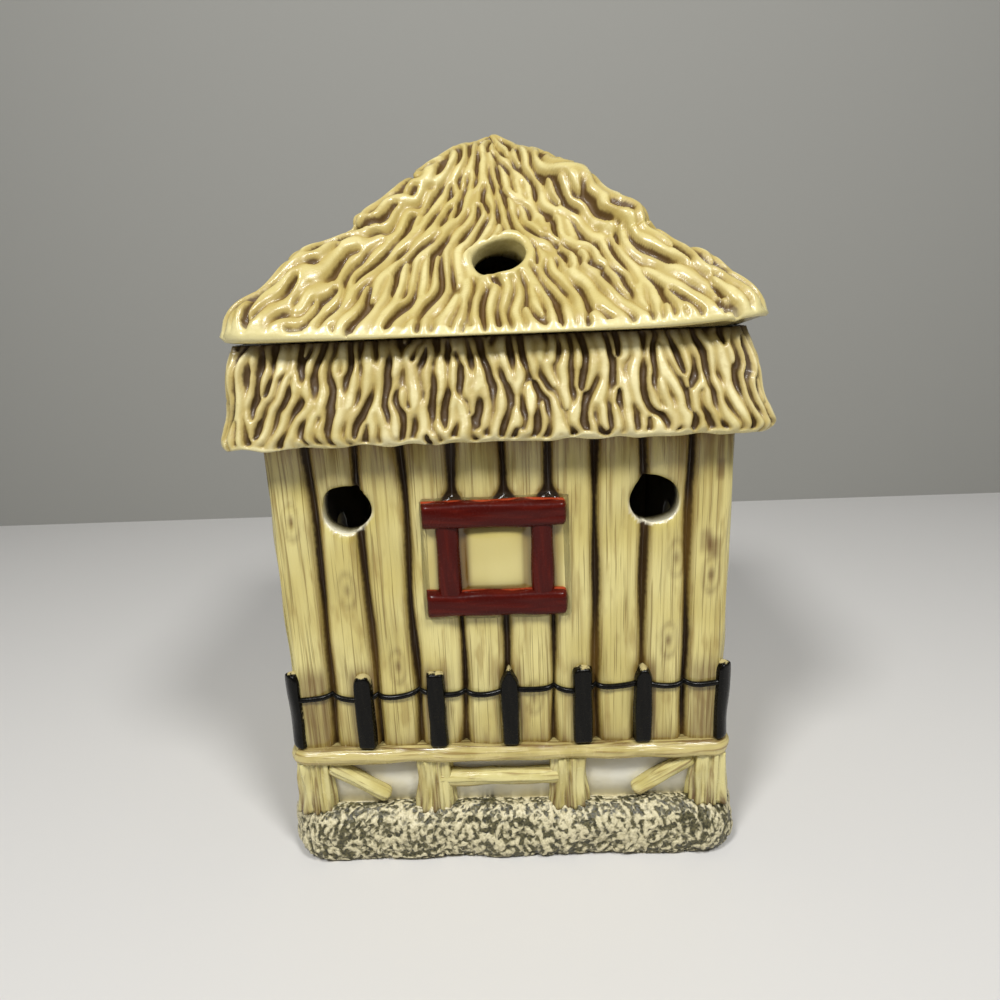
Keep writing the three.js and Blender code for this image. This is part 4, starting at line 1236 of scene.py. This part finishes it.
def core_piece():
    """The white wall behind the stilts and the floor that the candle stands on."""
    skin = Skin()
    outside, inside = skin.lining([
        (STILT_WALL, BASE_TOP - 2.0),
        (STILT_WALL, DECK_BOTTOM + 1.0),
        (grown(INNER, 1.0), DECK_BOTTOM + 1.0),
        (grown(INNER, 1.0), FLOOR_TOP),
    ])
    recess_low, recess_high = skin.lining([(RECESS, BASE_TOP - 2.0), (RECESS, FLOOR_BOTTOM)])
    skin.band(outside, recess_low)
    skin.cap(inside)
    skin.cap(recess_high)
    skin.piece("white_core", white)


def deck_piece():
    """The log rail of the deck, all the way round."""
    around, side, along = round_wall(columns=620)
    angle = np.linspace(-QUARTER, QUARTER, 22)[:, None]
    radius = (DECK_TOP - DECK_BOTTOM) / 2
    flat = stacked(around, angle * radius)
    thick = radius + 0.12 * waves(71, 13.0, flat) + 0.07 * waves(72, 2.6, flat * [0.14, 1.0])
    level = (DECK_TOP + DECK_BOTTOM) / 2 + thick * np.sin(angle)
    spots, _ = edge(DECK, side, along, (thick - 0.2) * np.cos(angle) - radius)
    worn = 0.8 * ramp(np.abs(np.sin(angle)), 0.7, 1.0)
    skin = Skin()
    numbers = skin.add(lifted(spots, level), across=angle * radius, along=around, worn=worn)
    skin.grid(numbers, closed=True)
    inside = grown(WALL, -4.0)
    inner_low, inner_high = skin.lining([(inside, DECK_BOTTOM), (inside, DECK_TOP)])
    skin.bridge(numbers[0], inner_low)
    skin.bridge(numbers[-1], inner_high)
    skin.piece("deck_rail", deck_logs)


def stilt(skin, x, y, seed):
    """One stilt: a squared bundle of ribs that spreads towards its foot."""
    angle = circle(columns=96)
    up = np.linspace(0.0, 1.0, 18)[:, None]
    square = POST_WIDTH / 2 / (np.abs(np.cos(angle)) ** 5 + np.abs(np.sin(angle)) ** 5) ** 0.2
    low, high = BASE_TOP - 1.2, DECK_BOTTOM + 0.5
    level = low + up * (high - low)
    spots = stacked(np.cos(angle) * 6.0, np.sin(angle) * 6.0, level * 0.25 + seed * 9.0)
    ribs = 0.42 * np.cos(15 * angle + 0.9 * waves(81, 5.0, spots)) + 0.2 * waves(82, 3.0, spots)
    radius = square - 0.5 + ribs + 0.9 * (1 - up) ** 2.2
    places = stacked(x + radius * np.cos(angle), y + radius * np.sin(angle), level)
    # Darker towards the foot and between the ribs.
    worn = np.clip(0.9 * (1 - up) ** 2.4 + 0.3 * smooth(-ribs, 0.1, 0.5), 0, 1)
    skin.bar(skin.add(places, across=angle * POST_WIDTH / 2, along=level, worn=worn))


def log(skin, start, end, radius, seed):
    """A log between two points, with shallow grain."""
    start, end = np.array(start), np.array(end)
    along = eased(np.linspace(0.0, 1.0, 30))[:, None]
    angle = circle(columns=24)
    length = np.linalg.norm(end - start)
    axis = (end - start) / length
    across = np.cross(axis, UP)
    across /= np.linalg.norm(across)
    spots = stacked(np.cos(angle) * 2, np.sin(angle) * 2, along * length * 0.2 + seed * 7)
    thick = (radius + 0.16 * waves(91, 2.5, spots)) * np.maximum(dome(2 * along - 1, 14), LOG_END)
    ring = np.cos(angle)[:, None] * across + np.sin(angle)[:, None] * np.cross(across, axis)
    places = start + along[..., None] * (end - start) + thick[..., None] * ring
    # Darker along the underside of the log.
    worn = 0.55 * smooth(-np.sin(angle), 0.2, 0.9)
    skin.bar(skin.add(places, across=angle * radius, along=along * length, worn=worn))


def stilt_piece():
    """All stilts, with the braces and level beams between them."""
    skin = Skin()
    posts = [(sign * POST_X, y) for sign in (-1, 1) for y in (-POST_Y, 0.0, POST_Y)]
    posts += [(-sign * x, sign * POST_Y) for sign in (-1, 1) for x in FRONT_POSTS]
    for seed, (x, y) in enumerate(posts, 1):
        stilt(skin, x, y, seed)
    line_x, line_y = WALL.half_x - BRACE_IN, WALL.half_y - BRACE_IN
    start_x, start_y = POST_X - POST_WIDTH / 2, POST_Y - POST_WIDTH / 2
    high, low = DECK_BOTTOM - BRACE_IN, BASE_TOP + BRACE_RADIUS
    corners = [(x, y) for x in (-1, 1) for y in (-1, 1)]
    for seed, (x, y) in enumerate(corners, len(posts) + 1):
        top, foot = (x * (start_x + 1), y * line_y, high), (x * (start_x - BRACE_RUN), y * line_y, low)
        log(skin, top, foot, BRACE_RADIUS, seed)
        top, foot = (x * line_x, y * (start_y + 1), high), (x * line_x, y * (start_y - BRACE_RUN), low)
        log(skin, top, foot, BRACE_RADIUS, seed + 20)
    for sign in (-1, 1):
        ends = [(-sign * x, sign * line_y, BEAM_LEVEL) for x in FRONT_POSTS]
        log(skin, *ends, BEAM_RADIUS, 40 + sign)
    skin.piece("stilts_and_braces", logs)


# Window frame and fence

def slat(skin, place, half, length, rise, seed, cap, square=9.0, lying_down=False):
    """A raised hand cut slat on the wall. place turns across, out and up into x, y and z."""
    across = np.sin(np.linspace(-QUARTER, QUARTER, 22))
    up = eased(np.linspace(0.0, 1.0, 54))[:, None]
    begin, power, root = cap
    end = ramp(up, begin, 1.0)
    uneven = 1.0 + 0.03 * waves(101, 12.0, stacked(up * length, seed * 13.0))
    x = across * half * dome(end, power, 1 / root) * uneven
    spots = stacked(across * half, up * length, seed * 7.0)
    face = rise + 0.10 * waves(102, 5.0, spots * [1.0, 0.4, 1.0])
    out = dome(across, square) * dome(2 * up - 1, 40) * face
    edges = np.maximum(smooth(np.abs(across), 0.8, 0.97), smooth(np.abs(2 * up - 1), 0.94, 0.99))
    # The edge colour also goes on the upper edge of a lying board and the top of a standing slat: rubbed
    # glaze, and partly a painted highlight where light falls on it.
    upper = smooth(across, 0.9, 1.0) if lying_down else smooth(up, 0.95, 1.0)
    worn = np.clip(0.5 * edges * (0.6 + 0.4 * waves(103, 6.0, spots)) + 0.6 * upper, 0, 1)
    numbers = skin.add(place(x, out, up * length), across=x, along=up * length, worn=worn)
    skin.grid(numbers)
    skin.cap(border(numbers))


def on_side(side, middle, sunk, foot):
    """A placer for slats that stand on one side of the hut."""
    def place(across, out, up):
        heading = side * QUARTER
        x, y = middle + across, sunk - side_half(side + 1) - out
        return stacked(
            x * math.cos(heading) - y * math.sin(heading),
            x * math.sin(heading) + y * math.cos(heading),
            foot + up,
        )
    return place


def lying(start_x, middle_z, sunk):
    """A placer for the level boards of the window."""
    def place(across, out, up):
        return stacked(start_x + up, sunk - WALL.half_y - out, middle_z + across)
    return place


def round_corner(corner):
    """A placer for a picket that wraps a corner of the hut."""
    def place(across, out, up):
        before = across < 0
        side = np.where(before, corner, (corner + 1) % 4)
        along = np.where(before, 1.0, -1.0) + across / side_half(side)
        spots, _ = edge(WALL, side, along, out - 1.4)
        return lifted(spots, PICKET_FOOT + up)
    return place


def frame_piece():
    """Two level boards over two stiles, each cut by hand."""
    skin = Skin()
    low, high = WINDOW_SILL + BOARD / 2, WINDOW_SILL + FRAME_HEIGHT - BOARD / 2
    for seed, sign in enumerate((-1, 1), 3):
        place = on_side(0, WINDOW_X + sign * STILE_SPACING / 2, FRAME_SUNK, low - 1.0)
        slat(skin, place, STILE / 2, high - low + 2.0, STILE_RISE + FRAME_SUNK, seed, STILE_END, 5.0)
    for seed, z in enumerate((low, high), 6):
        place = lying(WINDOW_X - FRAME_WIDTH / 2, z, FRAME_SUNK)
        slat(skin, place, BOARD / 2, FRAME_WIDTH, BOARD_RISE + FRAME_SUNK, seed, BOARD_END, 4.0, True)
    skin.piece("window_boards", red, "hut", "window_frame")


def picket_places():
    """The side and the distance from its middle for each picket that doesn't stand at a corner."""
    spots = [(0, x) for x in FRONT_PICKETS[1:-1]]
    side_span = 2 * WALL.half_y - 2 * PICKET_WIDTH
    for index in range(1, SIDE_PICKETS + 1):
        across = (index / (SIDE_PICKETS + 1) - 0.5) * side_span
        spots += [(1, across), (3, across)]
    back_span = WALL.half_x - PICKET_WIDTH - DOOR_PICKET
    for index in range(BACK_PICKETS):
        across = DOOR_PICKET + index / BACK_PICKETS * back_span
        spots += [(2, across), (2, -across)]
    return spots


def fence_piece():
    """The pickets and the wire that joins them."""
    skin = Skin()
    dice = np.random.default_rng(111)
    for index, (side, across) in enumerate(picket_places()):
        height = PICKET_HEIGHT * dice.uniform(0.95, 1.0) - 0.3
        half = PICKET_WIDTH / 2 * dice.uniform(0.92, 1.0)
        place, top = on_side(side, across, PICKET_SUNK, PICKET_FOOT), PICKET_TOPS[index % len(PICKET_TOPS)]
        slat(skin, place, half, height, PICKET_RISE + PICKET_SUNK, index, top)
    for corner in range(4):
        place = round_corner(corner)
        slat(skin, place, PICKET_WIDTH / 2, PICKET_HEIGHT - 0.4, 3.0, 50 + corner, PICKET_TOPS[0])
    wire(skin)
    skin.piece("fence", black, "hut", "picket_fence")


def wire(skin):
    """The thin wire that follows the planks from one side of the door round to the other."""
    flat, *kinds = plank_grid(np.array([WIRE_LEVEL]))
    around = flat[0, :, 0]
    from_door = DOOR_PICKET - PICKET_WIDTH / 2
    after = np.flatnonzero(around > side_middle(2) + from_door)
    before = np.flatnonzero(around < side_middle(2) - from_door)
    order = np.concatenate([after, before])
    around, (side, share, _, grooved) = around[order], (kind[0, order] for kind in kinds)
    bow = np.where(grooved, np.abs(2 * share - 1), 0.0)
    middle, outward = edge(WALL, side, along_side(around, side), 0.2 - 1.3 * bow ** 5)
    height = WIRE_LEVEL + 0.9 * bow ** 2 + 0.5 * np.sin(around * 0.23) + middle[:, 0] / 50.0
    angle = circle(columns=10)[:, None]
    ring = np.cos(angle) * lifted(outward, 0.0)[:, None] + np.sin(angle) * UP
    skin.bar(skin.add(lifted(middle, height)[:, None] + WIRE_RADIUS * ring, along=around[:, None]))


# Dish and tealight

def vessel(name, material, body, node, levels):
    """A piece from plans and levels, closed at both ends."""
    skin = Skin()
    for loop in skin.lining(levels):
        skin.cap(loop)
    skin.piece(name, material, body, node)


def turned(name, material, node, profile):
    """A round piece of the tealight from radii and heights."""
    levels = [(Plan(radius, radius, radius), level) for radius, level in profile]
    vessel(name, material, "tealight", node, levels)


def tapered(plan, level, by=0.0):
    """The plan of the bowl at a level, grown by a distance: its sides draw in towards the floor."""
    return grown(plan, by - DISH_DRAFT * (DISH_TOP - level) / DISH_DEPTH)


def bent(plan, level, radius, start, stop):
    """Plans and levels round a soft edge, from one angle to another. Its outermost plan is the one given."""
    angles = np.linspace(start, stop, 7)
    return [(grown(plan, radius * (math.cos(turn) - 1)), level + radius * math.sin(turn)) for turn in angles]


def dish_pieces():
    """The glazed tray with its flange, and the wax in it."""
    flange = grown(INNER, -LOOSE, 9.0)
    floor = DISH_TOP - DISH_DEPTH
    inner_floor = floor + DISH_WALL
    lip = [(grown(BOWL_IN, 0.8 * (1 - math.cos(turn))), DISH_TOP - 0.8 * (1 - math.sin(turn)))
           for turn in np.linspace(QUARTER, 0.0, 6)]
    vessel("dish", dish_glaze, "dish", "wax_dish", [
        *bent(tapered(BOWL_OUT, floor + 2), floor + 2, 2.0, -QUARTER, 0.0),
        (BOWL_OUT, LEDGE_TOP + GAP),
        *bent(flange, LEDGE_TOP + GAP + 0.6, 0.6, -QUARTER, 0.0),
        *bent(flange, DISH_TOP - 1.0, 1.0, 0.0, QUARTER),
        *lip,
        *bent(tapered(BOWL_IN, inner_floor + 3), inner_floor + 3, 3.0, 0.0, -QUARTER),
    ])
    bottom = inner_floor + GAP
    top = bottom + WAX_DEPTH
    vessel("wax", scented, "dish", "wax_melt", [
        *bent(tapered(BOWL_IN, bottom + 3, -GAP), bottom + 3, 3.0, -QUARTER, 0.0),
        *bent(tapered(BOWL_IN, top - 0.4, -GAP), top - 0.4, 0.4, 0.0, QUARTER),
        (tapered(BOWL_IN, top, -3.0), top - 0.3),
        (tapered(BOWL_IN, top, -10.0), top - 0.4),
    ])


def tealight_pieces():
    """The cup, the paraffin, the foot of the wick and the wick."""
    rim, inside = CUP_BOTTOM + CUP_HEIGHT, CUP_RADIUS - CUP_SHEET
    bead = [(CUP_RADIUS + CUP_BEAD * math.sin(turn), rim - CUP_BEAD - CUP_BEAD * math.cos(turn))
            for turn in np.linspace(0, math.pi, 7)]
    turned("cup_aluminium", aluminium, "tealight_cup", [
        (CUP_RADIUS - 1.0, CUP_BOTTOM), (CUP_RADIUS - 0.3, CUP_BOTTOM + 0.3), (CUP_RADIUS, CUP_BOTTOM + 1.0),
        *bead, (inside, rim - 0.1), (inside, CUP_BOTTOM + 1.5), (inside - 1.0, CUP_BOTTOM + CUP_SHEET),
    ])
    foot, pool = PARAFFIN_BOTTOM, PARAFFIN_BOTTOM + PARAFFIN_DEPTH
    turned("paraffin", paraffin, "tealight_wax", [
        (16.6, foot), (18.0, foot + 1.4), (18.0, pool), (17.2, pool - 0.35),
        (12.0, pool - 0.55), (3.0, pool - 0.6), (1.2, pool - 0.2),
    ])
    turned("tin_plate", tin, "wick_sustainer", [
        (7.0, foot), (7.0, foot + 0.4), (2.4, foot + 0.5),
        (1.6, foot + 1.6), (1.6, foot + 6.0), (1.1, foot + 6.0),
    ])
    heights = np.linspace(0.0, WICK_HEIGHT - 0.4, 110)
    braid = [(WICK_RADIUS + 0.08 * math.sin(height * 7.0), foot + height) for height in heights]
    turned("cotton", cotton, "tealight_wick", braid + [(0.4, foot + WICK_HEIGHT)])


# Camera, light and stage

def camera():
    """The photograph's place and lens."""
    data = bpy.data.cameras.new("camera")
    data.lens = 25.75
    data.sensor_width = 36.0
    made = placed("camera", data)
    made.location = (0.0042, -0.2115, 0.1459)
    yaw, pitch, roll = (math.radians(value) for value in (1.39, 15.47, -2.31))
    tilt = Euler((math.pi / 2 - pitch, 0.0, yaw)).to_matrix()
    made.rotation_euler = (tilt @ Euler((0.0, 0.0, roll)).to_matrix()).to_euler()
    bpy.context.scene.camera = made


def lamp(name, place, size, power):
    """A soft lamp that looks at the hut."""
    data = bpy.data.lights.new(name, "AREA")
    data.shape = "DISK"
    data.size = size
    data.energy = power
    made = placed(name, data)
    made.location = place
    aim = Vector((0.0, 0.0, 0.1)) - made.location
    made.rotation_euler = aim.to_track_quat("-Z", "Y").to_euler()


def flat_stage(name, corners, colour):
    """A plain plane that isn't part of the object."""
    mesh = bpy.data.meshes.new(name)
    mesh.from_pydata(corners, [], [(0, 1, 2, 3)])
    paint = Paint(name)
    paint.set("Base Color", colour)
    paint.set("Roughness", 0.8)
    mesh.materials.append(paint.material)
    placed(name, mesh)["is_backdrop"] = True


def studio():
    """A pale table and backdrop under two soft lamps and a dim sky."""
    wide, back, front, low, high = 1.6, 0.29, -1.4, -0.2, 1.4
    table = [(-wide, front, 0), (wide, front, 0), (wide, back, 0), (-wide, back, 0)]
    flat_stage("table", table, (222, 220, 216))
    wall = [(-wide, back, low), (wide, back, low), (wide, back, high), (-wide, back, high)]
    flat_stage("backdrop", wall, (158, 157, 151))
    world = bpy.data.worlds.new("world")
    bpy.context.scene.world = world
    world.use_nodes = True
    world.node_tree.nodes["Background"].inputs["Color"].default_value = (0.9, 0.93, 1.0, 1.0)
    world.node_tree.nodes["Background"].inputs["Strength"].default_value = 0.12
    lamp("key_left", (-0.22, -0.42, 0.64), 0.16, 3.3)
    lamp("key_right", (0.24, -0.38, 0.62), 0.16, 2.7)
    bpy.context.scene.view_settings.view_transform = "Standard"


for build in (
    wall_piece, skirt_piece, lid_piece, base_piece, core_piece, deck_piece, stilt_piece,
    frame_piece, fence_piece, dish_pieces, tealight_pieces, camera, studio,
):
    build()

sizes = {"cad": cad_box, "visual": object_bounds()}
{name: [list(corner) for corner in box] for name, box in sizes.items()}
